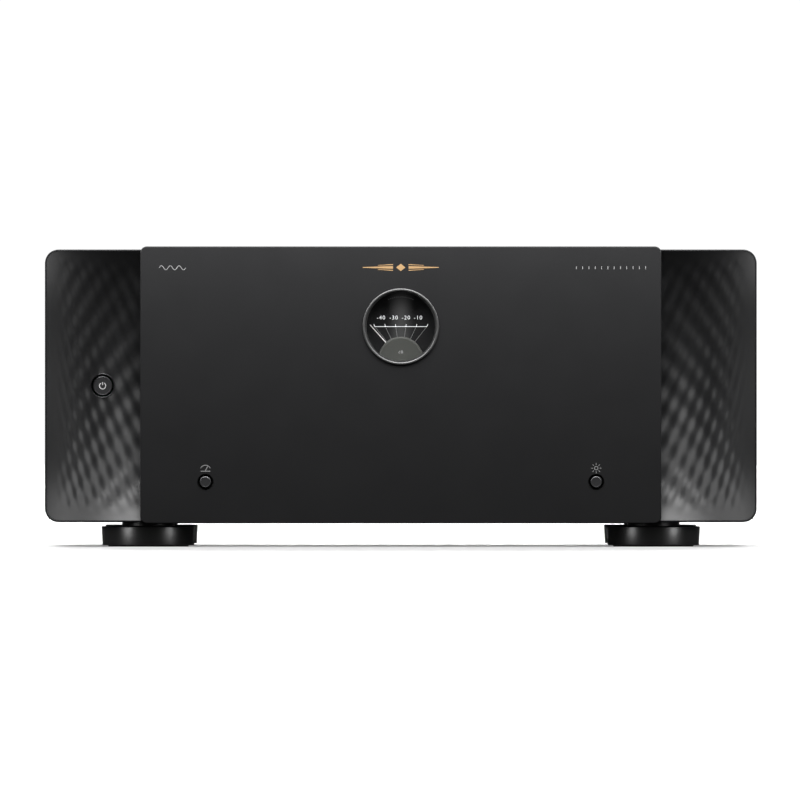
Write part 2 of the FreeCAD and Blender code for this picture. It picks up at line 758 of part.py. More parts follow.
def main():
    os.makedirs("parts", exist_ok=True)
    save("front_plate", *front_plate())
    save("fascia_frame", fascia_frame())
    left_panel = wave_panel()
    right_panel = left_panel.mirror(Vector(0, 0, 0), Vector(1, 0, 0))
    save("wave_panel_left", left_panel.cut(rod(power_x, power_height, power_ring_outer + 0.1, rim, web_front + 1)))
    save("wave_panel_right", right_panel)
    save("edge_light_guides", light_guide(-1), light_guide(1))
    save("button_rings", *button_ring_set())
    save("power_button", power_button())
    save("meter_button", small_button(-1))
    save("dimmer_button", small_button(1))
    save("control_boards", *control_boards())

    save("meter_bezel", meter_bezel())
    save("meter_window", meter_window())
    save("meter_housing", meter_housing())
    save("meter_dial", meter_dial())
    save("meter_mask", meter_mask())
    save("meter_needle", meter_needle())
    save("meter_movement", meter_movement())

    save("base_tray", drill_for_screws(base_tray()))
    save("top_cover", drill_for_screws(top_cover()))
    save("rear_panel", drill_for_screws(rear_panel()))
    save("case_screws", *case_screws())
    feet = []
    for x in (-foot_x, foot_x):
        for y in foot_rows:
            feet += foot(x, y)
    save("feet", *feet)

    columns = [column_x(i) for i in range(channels)]
    sockets = []
    for x in columns:
        sockets += xlr_socket(x)
    save("xlr_sockets", *sockets)
    save("signal_jacks", *([phono_jack(x) for x in columns] + [trigger_jack(z) for z in jack_heights]))
    posts = []
    for x in columns:
        posts += binding_post(x, plus_height) + binding_post(x, minus_height)
    save("binding_posts", *posts)
    for number, x in enumerate(columns, 1):
        save(f"speaker_cap_{number:02d}_plus", speaker_cap(x, plus_height))
        save(f"speaker_cap_{number:02d}_minus", speaker_cap(x, minus_height))
    for number, x in enumerate(switch_places(), 1):
        save(f"mode_switch_knob_{number}", mode_switch_knob(x))
    save("mains_inlet", *mains_inlet())

    save("input_board", *input_board())
    save("heat_sinks", heat_sink(-1), heat_sink(1))
    save("amplifier_boards", *amplifier_boards())
    save("power_supply", *power_supply())


main()
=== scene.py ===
"""Looks for a full-width power amplifier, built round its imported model, in metres.

X runs to the right as seen from the front, Y towards the back and Z up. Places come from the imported
nodes' boxes and from the joints; the sizes below are those of the finish work alone.
"""
import json
import logging
import math
from dataclasses import dataclass
from enum import Enum
from functools import lru_cache
from typing import Callable, Iterable, Sequence, Union

import bmesh
import bpy
import numpy as np
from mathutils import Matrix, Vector


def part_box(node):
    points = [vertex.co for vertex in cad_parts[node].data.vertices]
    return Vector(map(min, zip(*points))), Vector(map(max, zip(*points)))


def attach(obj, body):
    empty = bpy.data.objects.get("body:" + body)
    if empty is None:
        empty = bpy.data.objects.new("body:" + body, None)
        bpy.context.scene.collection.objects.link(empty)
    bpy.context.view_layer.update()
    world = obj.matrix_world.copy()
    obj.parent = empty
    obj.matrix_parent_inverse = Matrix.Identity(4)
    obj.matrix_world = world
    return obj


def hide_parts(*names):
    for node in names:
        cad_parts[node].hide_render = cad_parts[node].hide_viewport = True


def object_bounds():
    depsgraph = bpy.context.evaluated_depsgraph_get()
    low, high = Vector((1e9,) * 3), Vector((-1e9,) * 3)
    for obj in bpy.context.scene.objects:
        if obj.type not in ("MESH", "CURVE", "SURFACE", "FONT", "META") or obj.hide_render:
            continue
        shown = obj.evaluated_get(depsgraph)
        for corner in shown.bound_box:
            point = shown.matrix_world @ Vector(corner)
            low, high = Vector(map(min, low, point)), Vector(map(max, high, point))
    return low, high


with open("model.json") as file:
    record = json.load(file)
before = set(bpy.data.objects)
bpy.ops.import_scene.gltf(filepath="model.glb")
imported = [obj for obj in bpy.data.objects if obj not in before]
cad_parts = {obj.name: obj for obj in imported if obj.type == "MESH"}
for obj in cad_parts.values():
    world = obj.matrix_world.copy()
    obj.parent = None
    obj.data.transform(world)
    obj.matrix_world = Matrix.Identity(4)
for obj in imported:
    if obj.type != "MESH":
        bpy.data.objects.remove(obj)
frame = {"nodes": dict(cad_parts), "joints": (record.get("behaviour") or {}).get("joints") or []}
cad_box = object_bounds()

logging.basicConfig(level=logging.INFO, format="%(message)s")
log = logging.getLogger("power_amplifier")

MM = 0.001
WELD = 0.0005 * MM
CHASSIS = "chassis"
CHANNELS = 12
Colour = tuple[float, float, float]
Number = Union[float, "Signal"]
Outline = np.ndarray


# ---------------------------------------------------------------- shader tools


def _operator(operation: str, swapped: bool = False) -> Callable[["Signal", "Number"], "Signal"]:
    """A method that adds a Math node over the signal and another value, or over the two swapped."""

    def method(self: "Signal", other: "Number") -> "Signal":
        """The node's output."""
        return self.math(operation, other, self) if swapped else self.math(operation, self, other)

    return method


class Signal:
    """An output of a shader node. Arithmetic on it adds Math nodes to the same tree."""

    def __init__(self, shade: "Shade", socket: bpy.types.NodeSocket) -> None:
        """Keep the tree's builder and the output socket."""
        self.shade = shade
        self.socket = socket

    def math(self, operation: str, *values: "Number") -> "Signal":
        """Add one Math node over the values, in order."""
        return self.shade.node("ShaderNodeMath", {"operation": operation}, dict(enumerate(values)))

    __add__ = _operator("ADD")
    __radd__ = _operator("ADD", True)
    __sub__ = _operator("SUBTRACT")
    __rsub__ = _operator("SUBTRACT", True)
    __mul__ = _operator("MULTIPLY")
    __rmul__ = _operator("MULTIPLY", True)
    __pow__ = _operator("POWER")
    __gt__ = _operator("GREATER_THAN")
    __lt__ = _operator("LESS_THAN")

    def __abs__(self) -> "Signal":
        """Magnitude."""
        return self.math("ABSOLUTE", self)

    def sine(self) -> "Signal":
        """Sine of an angle in radians."""
        return self.math("SINE", self)

    def root(self) -> "Signal":
        """Square root."""
        return self.math("SQRT", self)

    def fraction(self) -> "Signal":
        """Part after the decimal point."""
        return self.math("FRACT", self)

    def step(self, low: float, high: float) -> "Signal":
        """Smooth rise from 0 at low to 1 at high."""
        settings = {"interpolation_type": "SMOOTHSTEP"}
        return self.shade.node("ShaderNodeMapRange", settings, {0: self, 1: low, 2: high, 3: 0.0, 4: 1.0})


class Shade:
    """The node tree of a material or a world under construction. Every node in it comes from node()."""

    def __init__(self, owner: Union[bpy.types.Material, bpy.types.World]) -> None:
        """Start with an empty tree."""
        self.owner = owner
        owner.use_nodes = True
        self.tree = owner.node_tree
        self.tree.nodes.clear()

    def node(self, kind: str, settings: dict | None = None, inputs: dict | None = None,
             output: int = 0) -> Signal:
        """Add a node.

        Args:
            kind: The node's type.
            settings: Its properties, set first.
            inputs: Values or signals by socket name or number.
            output: Number of the output to return.

        Returns:
            That output, or the first input of a node that has no outputs.
        """
        made = self.tree.nodes.new(kind)
        for key, value in (settings or {}).items():
            setattr(made, key, value)
        for key, value in (inputs or {}).items():
            if isinstance(value, Signal):
                self.tree.links.new(value.socket, made.inputs[key])
            else:
                made.inputs[key].default_value = value
        return Signal(self, made.outputs[output] if len(made.outputs) else made.inputs[0])

    def place(self) -> Signal:
        """Point on the object, in metres."""
        return self.node("ShaderNodeTexCoord", output=3)

    def axes(self) -> tuple[Signal, Signal, Signal]:
        """The point's three coordinates."""
        split = self.node("ShaderNodeSeparateXYZ", inputs={0: self.place()})
        outputs = split.socket.node.outputs
        return tuple(Signal(self, outputs[i]) for i in range(3))

    def noise(self, size: float, detail: float = 3.0, roughness: float = 0.5,
              stretch: Colour = (1, 1, 1)) -> Signal:
        """Noise from 0 to 1 whose features are about size metres across, stretched along the axes."""
        scaled = self.node("ShaderNodeMapping", inputs={0: self.place(), 3: tuple(1 / s for s in stretch)})
        values = {"Vector": scaled, "Scale": 1 / size, "Detail": detail, "Roughness": roughness}
        return self.node("ShaderNodeTexNoise", inputs=values)

    def mix(self, factor: Number, low: "Colour | Signal", high: "Colour | Signal") -> Signal:
        """Colour between two colours."""
        pair = [value if isinstance(value, Signal) else (*value, 1.0) for value in (low, high)]
        return self.node("ShaderNodeMix", {"data_type": "RGBA"}, {0: factor, 6: pair[0], 7: pair[1]}, output=2)

    def bump(self, height: Number, distance: float) -> Signal:
        """Normal bent by a height, which is in units of distance metres."""
        return self.node("ShaderNodeBump", inputs={"Height": height, "Distance": distance})

    def finish(self, **values: Number) -> bpy.types.Material:
        """Close the tree with a Principled shader.

        Args:
            **values: Its sockets, with underscores for spaces.

        Returns:
            The material.
        """
        named = {key.replace("_", " "): value for key, value in values.items()}
        shader = self.node("ShaderNodeBsdfPrincipled", inputs=named)
        self.node("ShaderNodeOutputMaterial", inputs={"Surface": shader})
        return self.owner


# ---------------------------------------------------------------- finishes


@dataclass(frozen=True)
class Finish:
    """A plain surface: colour, gloss, and how much each wanders over the surface."""

    name: str
    colour: Colour
    roughness: float
    metallic: float = 0.0
    coat: float = 0.0
    specular: float = 0.5
    grain: float = 0.4 * MM
    relief: float = 0.01 * MM
    mottle: float = 0.12
    wander: float = 0.06

    def varied(self, shade: Shade) -> dict[str, Number]:
        """Colour, roughness and normal that change a little from place to place."""
        broad = shade.noise(28 * MM, 2.0)
        fine = shade.noise(self.grain, 2.0)
        dark = tuple(c * (1 - self.mottle) for c in self.colour)
        light = tuple(min(1.0, c * (1 + self.mottle)) for c in self.colour)
        return {
            "Base_Color": shade.mix(broad * 0.6 + fine * 0.4, dark, light),
            "Roughness": self.roughness + (broad - 0.5) * self.wander + (fine - 0.5) * self.wander,
            "Normal": shade.bump(fine, self.relief),
        }

    def constants(self) -> dict[str, Number]:
        """Sockets that hold one value all over the surface."""
        return {"Metallic": self.metallic, "Coat_Weight": self.coat, "Specular_IOR_Level": self.specular}


@dataclass(frozen=True)
class TurnedMetal(Finish):
    """Metal faced on a lathe: fine rings about a front-to-back axis at x, z."""

    x: float = 0.0
    z: float = 0.0
    groove: float = 0.25 * MM
    depth: float = 0.004 * MM

    def varied(self, shade: Shade) -> dict[str, Number]:
        """Rings in the normal and the roughness, from the distance to the axis."""
        across, _, up = shade.axes()
        radius = ((across - self.x) ** 2 + (up - self.z) ** 2).root()
        rings = (radius * (2 * math.pi / self.groove)).sine() * 0.5 + 0.5
        fine = shade.noise(self.grain, 2.0)
        dark = tuple(c * (1 - self.mottle) for c in self.colour)
        return {
            "Base_Color": shade.mix(rings * 0.5 + fine * 0.5, dark, self.colour),
            "Roughness": self.roughness + (rings - 0.5) * self.wander,
            "Normal": shade.bump(rings + fine * 0.5, self.depth),
        }


@dataclass(frozen=True)
class PowderCoat(Finish):
    """Baked powder paint: a soft orange-peel skin over fine grains."""

    peel: float = 1.6 * MM

    def varied(self, shade: Shade) -> dict[str, Number]:
        """Two sizes of bump, with lighter tops: painted highlight on the tops and painted shade in the
        hollows.
        """
        peel = shade.noise(self.peel, 2.0)
        fine = shade.noise(self.grain, 3.0)
        height = peel * 0.65 + fine * 0.35
        dark = tuple(c * (1 - self.mottle) for c in self.colour)
        light = tuple(c * (1 + self.mottle) for c in self.colour)
        return {
            # Painted highlight on the peel's tops and painted shade in its hollows, from the bump height.
            "Base_Color": shade.mix(height.step(0.35, 0.7), dark, light),
            "Roughness": self.roughness + (fine - 0.5) * self.wander,
            "Normal": shade.bump(height, self.relief),
        }


@dataclass(frozen=True)
class BrushedMetal(Finish):
    """Drawn or extruded metal, with fine lines along one axis."""

    along: Colour = (1.0, 40.0, 1.0)

    def varied(self, shade: Shade) -> dict[str, Number]:
        """Noise stretched along the draw."""
        lines = shade.noise(self.grain, 4.0, 0.6, self.along)
        dark = tuple(c * (1 - self.mottle) for c in self.colour)
        return {
            "Base_Color": shade.mix(lines, dark, self.colour),
            "Roughness": self.roughness + (lines - 0.5) * self.wander,
            "Normal": shade.bump(lines, self.relief),
        }


@dataclass(frozen=True)
class DialFace(Finish):
    """Dial card: a painted glow, a dim upright band of light down its middle, over matt black."""

    x: float = 0.0
    z: float = 0.0
    band: float = 9 * MM
    reach: float = 24 * MM
    glow: float = 0.055

    def varied(self, shade: Shade) -> dict[str, Number]:
        """Painted glow: emission that falls away from the card's upright centre line."""
        across, _, up = shade.axes()
        beside = 1 - (abs(across - self.x)).step(0.0, self.band)
        above = 1 - (abs(up - self.z)).step(self.reach * 0.3, self.reach)
        level = beside * above * self.glow
        fine = shade.noise(self.grain, 2.0)
        dark = tuple(c * (1 - self.mottle) for c in self.colour)
        return {
            "Base_Color": shade.mix(fine, dark, self.colour),
            "Roughness": self.roughness + (fine - 0.5) * self.wander,
            "Normal": shade.bump(fine, self.relief),
            "Emission_Color": shade.mix(level, (0.0, 0.0, 0.0), (1.0, 1.0, 1.0)),
        }

    def constants(self) -> dict[str, Number]:
        """As on any finish, with the glow switched on."""
        return {**super().constants(), "Emission_Strength": 1.0}


@dataclass(frozen=True)
class Laminate(Finish):
    """Circuit board: tracks under a tinted lacquer, and pale solder dots."""

    track: Colour = (0.05, 0.2, 0.09)
    solder: Colour = (0.55, 0.55, 0.55)
    pitch: float = 5 * MM

    def varied(self, shade: Shade) -> dict[str, Number]:
        """Cells of a random pattern stand for tracks, their centres for solder."""
        cells = shade.node("ShaderNodeTexVoronoi", {"feature": "F1", "distance": "CHEBYCHEV"},
                           {"Vector": shade.place(), "Scale": 1 / self.pitch})
        tracks = (cells * 9.0).fraction() > 0.55
        dots = cells < 0.13
        copper = shade.mix(tracks, self.colour, self.track)
        return {
            "Base_Color": shade.mix(dots, copper, self.solder),
            "Roughness": self.roughness + tracks * self.wander,
            "Normal": shade.bump(tracks, self.relief),
        }


@dataclass(frozen=True)
class Glowing(Finish):
    """Pale print or a needle given a painted glow, or a light guide that gives off a little light of its own.
    """

    strength: float = 0.5

    def constants(self) -> dict[str, Number]:
        """As on any finish, with its own light."""
        lit = {"Emission_Color": (*self.colour, 1.0), "Emission_Strength": self.strength}
        return {**super().constants(), **lit}


@dataclass(frozen=True)
class ClearGlass(Finish):
    """Flat meter glass: clear, thin and lightly coated."""

    clear: float = 0.94

    def varied(self, shade: Shade) -> dict[str, Number]:
        """Roughness of a wiped pane, and how clear it is."""
        haze = shade.noise(6 * MM, 2.0)
        return {"Roughness": self.roughness + haze * self.wander, "Alpha": 1 - self.clear + haze * 0.01}


@lru_cache(maxsize=None)
def material_of(finish: Finish) -> bpy.types.Material:
    """The finish's material, made once."""
    shade = Shade(bpy.data.materials.new(finish.name))
    made = {"Base_Color": (*finish.colour, 1.0), **finish.constants(), **finish.varied(shade)}
    return shade.finish(**made)


class Finishes:
    """The finishes of this amplifier."""

    plate = Finish("anodised_plate", (0.0100, 0.0100, 0.0108), 0.50, 0.0, grain=0.22 * MM, relief=0.006 * MM,
                   mottle=0.10, wander=0.05)
    wave = Finish("wave_resin", (0.0042, 0.0042, 0.0046), 0.44, grain=0.5 * MM, relief=0.004 * MM)
    fascia = Finish("fascia_resin", (0.010, 0.010, 0.011), 0.36, grain=0.3 * MM, relief=0.006 * MM)
    case = PowderCoat("case_powder", (0.013, 0.013, 0.0135), 0.52, grain=0.35 * MM, relief=0.05 * MM,
                      mottle=0.3)
    guide = Glowing("light_guide", (0.9, 0.92, 0.95), 0.45, strength=0.25)
    black = Finish("black_resin", (0.012, 0.012, 0.012), 0.42)
    # Near-black of the small button rings: their own black resin, darkened further as painted shade for the
    # deep gap round each cap.
    well = Finish("ring_well_painted_shade", (0.006, 0.006, 0.006), 0.55)
    foot = Finish("foot_resin", (0.010, 0.010, 0.010), 0.30, relief=0.004 * MM)
    pad = Finish("foot_pad", (0.014, 0.014, 0.014), 0.85, relief=0.05 * MM)
    screw = Finish("black_oxide", (0.05, 0.05, 0.052), 0.34, 0.8, wander=0.1)
    bezel = BrushedMetal("bezel_metal", (0.20, 0.20, 0.20), 0.50, 1.0, grain=0.2 * MM, relief=0.003 * MM)
    glass = ClearGlass("meter_glass", (0.01, 0.01, 0.01), 0.03, wander=0.02)
    mask = Finish("mask_grey", (0.085, 0.088, 0.08), 0.5)
    # The needle and the dial's print have a painted glow, in place of light falling on the dial behind its
    # glass.
    needle = Glowing("needle_painted_glow", (0.75, 0.75, 0.74), 0.4, strength=0.45)
    scale = Glowing("scale_print_painted_glow", (0.88, 0.90, 0.91), 0.6, strength=1.1)
    faint = Glowing("faint_print_painted_glow", (0.30, 0.30, 0.30), 0.6, strength=0.25)
    print_grey = Finish("grey_print", (0.36, 0.36, 0.36), 0.55)
    symbol = Finish("symbol_print", (0.75, 0.75, 0.75), 0.5)
    gold = Finish("gold_foil", (0.60, 0.38, 0.185), 0.38, 0.25, mottle=0.08)
    nickel = BrushedMetal("nickel_plate", (0.62, 0.61, 0.59), 0.22, 1.0, grain=0.3 * MM, relief=0.003 * MM)
    flash = Finish("gold_flash", (0.83, 0.62, 0.30), 0.22, 1.0)
    red = Finish("red_resin", (0.42, 0.012, 0.014), 0.25, coat=0.4)
    cap_black = Finish("cap_resin", (0.012, 0.012, 0.012), 0.25, coat=0.4)
    white = Finish("white_resin", (0.62, 0.62, 0.60), 0.45)
    board = Laminate("board_laminate", (0.012, 0.085, 0.035), 0.35, relief=0.02 * MM, wander=0.08)
    bare = BrushedMetal("bare_aluminium", (0.58, 0.58, 0.60), 0.34, 1.0, along=(1.0, 1.0, 40.0))
    legend = Finish("legend_print", (0.55, 0.55, 0.55), 0.6)


# ---------------------------------------------------------------- mesh tools


def rounded_path(corners: Sequence[tuple[float, float, float]], steps: int = 5,
                 closed: bool = False) -> Outline:
    """Turn a polyline's corners into arcs.

    An arc touches both runs at a distance t from the corner and its centre lies on the corner's bisector,
    at t / (1 + a.b) times a + b, where a and b point along the runs. Its points turn evenly from one
    touching point to the other.

    Args:
        corners: (first, second, radius) of each corner, in metres.
        steps: Points on an arc, less one.
        closed: Whether the last corner joins the first.

    Returns:
        The points, one row each.
    """
    points = np.array([corner[:2] for corner in corners], float)
    path = []
    for i, (_, _, radius) in enumerate(corners):
        ends = not closed and i in (0, len(corners) - 1)
        if ends or radius <= 0:
            path.append(points[i][None])
            continue
        back = points[i - 1] - points[i]
        ahead = points[(i + 1) % len(points)] - points[i]
        a = back / np.linalg.norm(back)
        b = ahead / np.linalg.norm(ahead)
        reach = min(radius / math.tan(math.acos(float(np.clip(a @ b, -1, 1))) / 2),
                    0.49 * np.linalg.norm(back), 0.49 * np.linalg.norm(ahead))
        centre = points[i] + (a + b) * reach / (1 + a @ b)
        start = points[i] + a * reach - centre
        end = points[i] + b * reach - centre
        turn = math.acos(float(np.clip(start @ end / (start @ start), -1, 1)))
        share = np.linspace(0, 1, steps + 1)[:, None]
        swept = np.sin((1 - share) * turn) * start + np.sin(share * turn) * end
        path.append(centre + swept / math.sin(turn))
    return np.concatenate(path)


def make_piece(name: str, data: bpy.types.Mesh, finishes: Sequence[Finish], slot: str, *nodes: str,
               body: str = CHASSIS, smooth: float = 35.0) -> bpy.types.Object:
    """Make a piece at the origin: weld its mesh, point its faces out, dress it and let it ride.

    Args:
        name: The piece's name.
        data: Its mesh, in place.
        finishes: Its finishes, in the order of the faces' material numbers.
        slot: The record's material slot; not used.
        *nodes: The nodes that it stands for.
        body: The body that it rides on.
        smooth: Edges sharper than this many degrees stay sharp.

    Returns:
        The object.
    """
    work = bmesh.new()
    work.from_mesh(data)
    bmesh.ops.remove_doubles(work, verts=work.verts, dist=WELD)
    bmesh.ops.dissolve_degenerate(work, edges=work.edges, dist=WELD)
    bmesh.ops.recalc_face_normals(work, faces=work.faces)
    work.to_mesh(data)
    work.free()
    data.shade_smooth()
    data.set_sharp_from_angle(angle=math.radians(smooth))
    for finish in finishes:
        data.materials.append(material_of(finish))
    piece = bpy.data.objects.new(name, data)
    bpy.context.scene.collection.objects.link(piece)
    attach(piece, body)
    if nodes:
        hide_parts(*nodes)
    log.info("%s on %s, %d faces", name, body, len(data.polygons))
    return piece


def grid_faces(rows: int, columns: int, wrap_rows: bool = False, wrap_columns: bool = False) -> np.ndarray:
    """Corner numbers of the quads of a grid, four to a row."""
    i = np.arange(rows if wrap_rows else rows - 1)
    j = np.arange(columns if wrap_columns else columns - 1)
    i, j = (part.ravel() for part in np.meshgrid(i, j, indexing="ij"))
    after_i = (i + 1) % rows
    after_j = (j + 1) % columns
    corners = [i * columns + j, i * columns + after_j, after_i * columns + after_j, after_i * columns + j]
    return np.stack(corners, 1)


class Soup:
    """Quads gathered from several surfaces, to become one mesh."""

    def __init__(self) -> None:
        """Start with nothing."""
        self.points: list[np.ndarray] = []
        self.faces: list[np.ndarray] = []
        self.numbers: list[np.ndarray] = []
        self.count = 0

    def add_faces(self, points: np.ndarray, faces: np.ndarray, number: int = 0) -> "Soup":
        """Add points, one row each, quads given by their corner numbers, and the quads' finish number."""
        self.points.append(points)
        self.faces.append(faces + self.count)
        self.numbers.append(np.full(len(faces), number))
        self.count += len(points)
        return self

    def add(self, grid: np.ndarray, wrap_rows: bool = False, wrap_columns: bool = False,
            number: int = 0) -> "Soup":
        """Add a grid of points, rows by columns by 3."""
        faces = grid_faces(*grid.shape[:2], wrap_rows, wrap_columns)
        return self.add_faces(grid.reshape(-1, 3), faces, number)

    def turn(self, profile: Outline, centre: Sequence[float], number: int = 0, closed: bool = False,
             **options: object) -> "Soup":
        """Add a surface of revolution. The options are those of turned()."""
        return self.add(turned(np.asarray(profile, float), centre, **options), closed, True, number)

    def line(self, points: Outline, width: float, front: float, back: float, closed: bool = False) -> "Soup":
        """Add a line of box section, as raised_line() gives it."""
        return self.add(raised_line(np.array(points, float), width, front, back, closed), closed, True)

    def fill(self, outline: Outline, front: float, back: float) -> "Soup":
        """Add a filled plate, as filled_plate() gives it."""
        return self.add(filled_plate(np.array(outline, float), front, back), False, True)

    def mesh(self) -> bpy.types.Mesh:
        """The gathered quads as a mesh."""
        data = bpy.data.meshes.new("soup")
        data.from_pydata(np.concatenate(self.points).tolist(), [], np.concatenate(self.faces).tolist())
        data.polygons.foreach_set("material_index", np.concatenate(self.numbers).astype(np.int32))
        return data


class Axis(Enum):
    """Which way a turned piece's axis runs."""

    BACK = "back"
    UP = "up"


def turned(profile: Outline, centre: Sequence[float], axis: Axis = Axis.BACK, sides: int = 64,
           shape: Callable[[np.ndarray, np.ndarray], np.ndarray] | None = None) -> np.ndarray:
    """Surface of revolution: a profile of (radius, height) swung about an axis.

    A point is centre + radius (cos turn, sin turn) across the axis + height along it.

    Args:
        profile: Points (radius, height), heights measured in the row's frame along the axis.
        centre: The axis's place: (x, z) for an axis to the back, (x, y) for one that points up.
        axis: The way the axis runs.
        sides: Steps in a full turn.
        shape: Optional scale on the radius, from the turn and the profile's place from 0 to 1.

    Returns:
        The grid of points, profile by turn.
    """
    turn = np.linspace(0, 2 * math.pi, sides, endpoint=False)[None]
    share = np.linspace(0, 1, len(profile))[:, None]
    radius = profile[:, :1] * (shape(turn, share) if shape else np.ones_like(turn))
    across = centre[0] + radius * np.cos(turn)
    other = centre[1] + radius * np.sin(turn)
    height = profile[:, 1:] + 0 * turn
    order = (across, height, other) if axis is Axis.BACK else (across, other, height)
    return np.stack(order, -1)


def filled_plate(outline: Outline, front: float, back: float) -> np.ndarray:
    """Closed plate between two depths whose face is filled towards its middle.

    The outline shrinks to its own centre on both faces, so the grid closes on itself at two poles.
    """
    middle = outline.mean(0)
    rows = [(0.0, front), (1.0, front), (1.0, back), (0.0, back)]
    flat = [middle + share * (outline - middle) for share, _ in rows]
    return np.stack([np.stack([f[:, 0], np.full(len(f), y), f[:, 1]], 1) for f, (_, y) in zip(flat, rows)])


def strip(points: Outline, width: float, closed: bool = False) -> Outline:
    """Outline of a line of even width: its points pushed to either side along the mean normal."""
    ahead = np.roll(points, -1, 0) - points
    behind = points - np.roll(points, 1, 0)
    if not closed:
        ahead[-1] = behind[-1]
        behind[0] = ahead[0]
    along = ahead / np.linalg.norm(ahead, axis=1)[:, None] + behind / np.linalg.norm(behind, axis=1)[:, None]
    along /= np.linalg.norm(along, axis=1)[:, None]
    normal = np.stack([-along[:, 1], along[:, 0]], 1)
    return np.stack([points + normal * width / 2, points - normal * width / 2])


def raised_line(points: Outline, width: float, front: float, back: float, closed: bool = False) -> np.ndarray:
    """Box-section line in the XZ plane along points, as a grid that wraps about its own length."""
    left, right = strip(points, width, closed)
    sides = [(left, front), (right, front), (right, back), (left, back)]
    loops = np.stack([np.stack([s[:, 0], np.full(len(s), y), s[:, 1]], 1) for s, y in sides], 1)
    if closed:
        return loops
    caps = loops.mean(1, keepdims=True)
    first = np.repeat(caps[:1], 4, 1)
    last = np.repeat(caps[-1:], 4, 1)
    return np.concatenate([first, loops, last])


def arc(centre: tuple[float, float], radius: float, start: float, end: float, steps: int = 24) -> Outline:
    """Points round a centre, with the angles in degrees clockwise from straight up."""
    turn = np.radians(np.linspace(start, end, steps + 1))
    return np.stack([centre[0] + radius * np.sin(turn), centre[1] + radius * np.cos(turn)], 1)


def written(text: str, size: float, centre: tuple[float, float], front: float, thickness: float,
            face_back: bool = False) -> bpy.types.Mesh:
    """Lettering as a mesh in the XZ plane.

    Args:
        text: The characters.
        size: Height of a capital, nearly.
        centre: Its middle, as (x, z).
        front: The y of its outer face.
        thickness: How far it stands out.
        face_back: Whether it is read from behind.

    Returns:
        The mesh, in place.
    """
    curve = bpy.data.curves.new(text, "FONT")
    curve.body = text
    curve.size = size * 1.4
    curve.space_character = 1.2
    curve.offset = -0.010 * size
    curve.extrude = thickness / 2
    curve.resolution_u = 3
    curve.align_x = "CENTER"
    curve.align_y = "CENTER"
    holder = bpy.data.objects.new(text, curve)
    bpy.context.scene.collection.objects.link(holder)
    bpy.context.view_layer.update()
    data = bpy.data.meshes.new_from_object(holder)
    bpy.data.objects.remove(holder)
    flat = np.empty(len(data.vertices) * 3)
    data.vertices.foreach_get("co", flat)
    flat = flat.reshape(-1, 3)
    middle = (flat.min(0) + flat.max(0)) / 2
    turn = -1 if face_back else 1
    placed = np.stack([centre[0] + turn * (flat[:, 0] - middle[0]),
                       front + turn * (thickness / 2 - flat[:, 2]),
                       centre[1] + flat[:, 1] - middle[1]], 1)
    data.vertices.foreach_set("co", placed.ravel())
    return data


def joined(meshes: Iterable[bpy.types.Mesh]) -> bpy.types.Mesh:
    """Several meshes as one."""
    work = bmesh.new()
    for part in meshes:
        work.from_mesh(part)
    data = bpy.data.meshes.new("joined")
    work.to_mesh(data)
    work.free()
    return data


def centre_of(node: str) -> Vector:
    """Middle of a node's box."""
    low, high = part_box(node)
    return (low + high) / 2


def dress(node: str, finish: Finish) -> None:
    """Give a kept node a finish in place of its plain one."""
    data = frame["nodes"][node].data
    data.materials.clear()
    data.materials.append(material_of(finish))


# ---------------------------------------------------------------- front


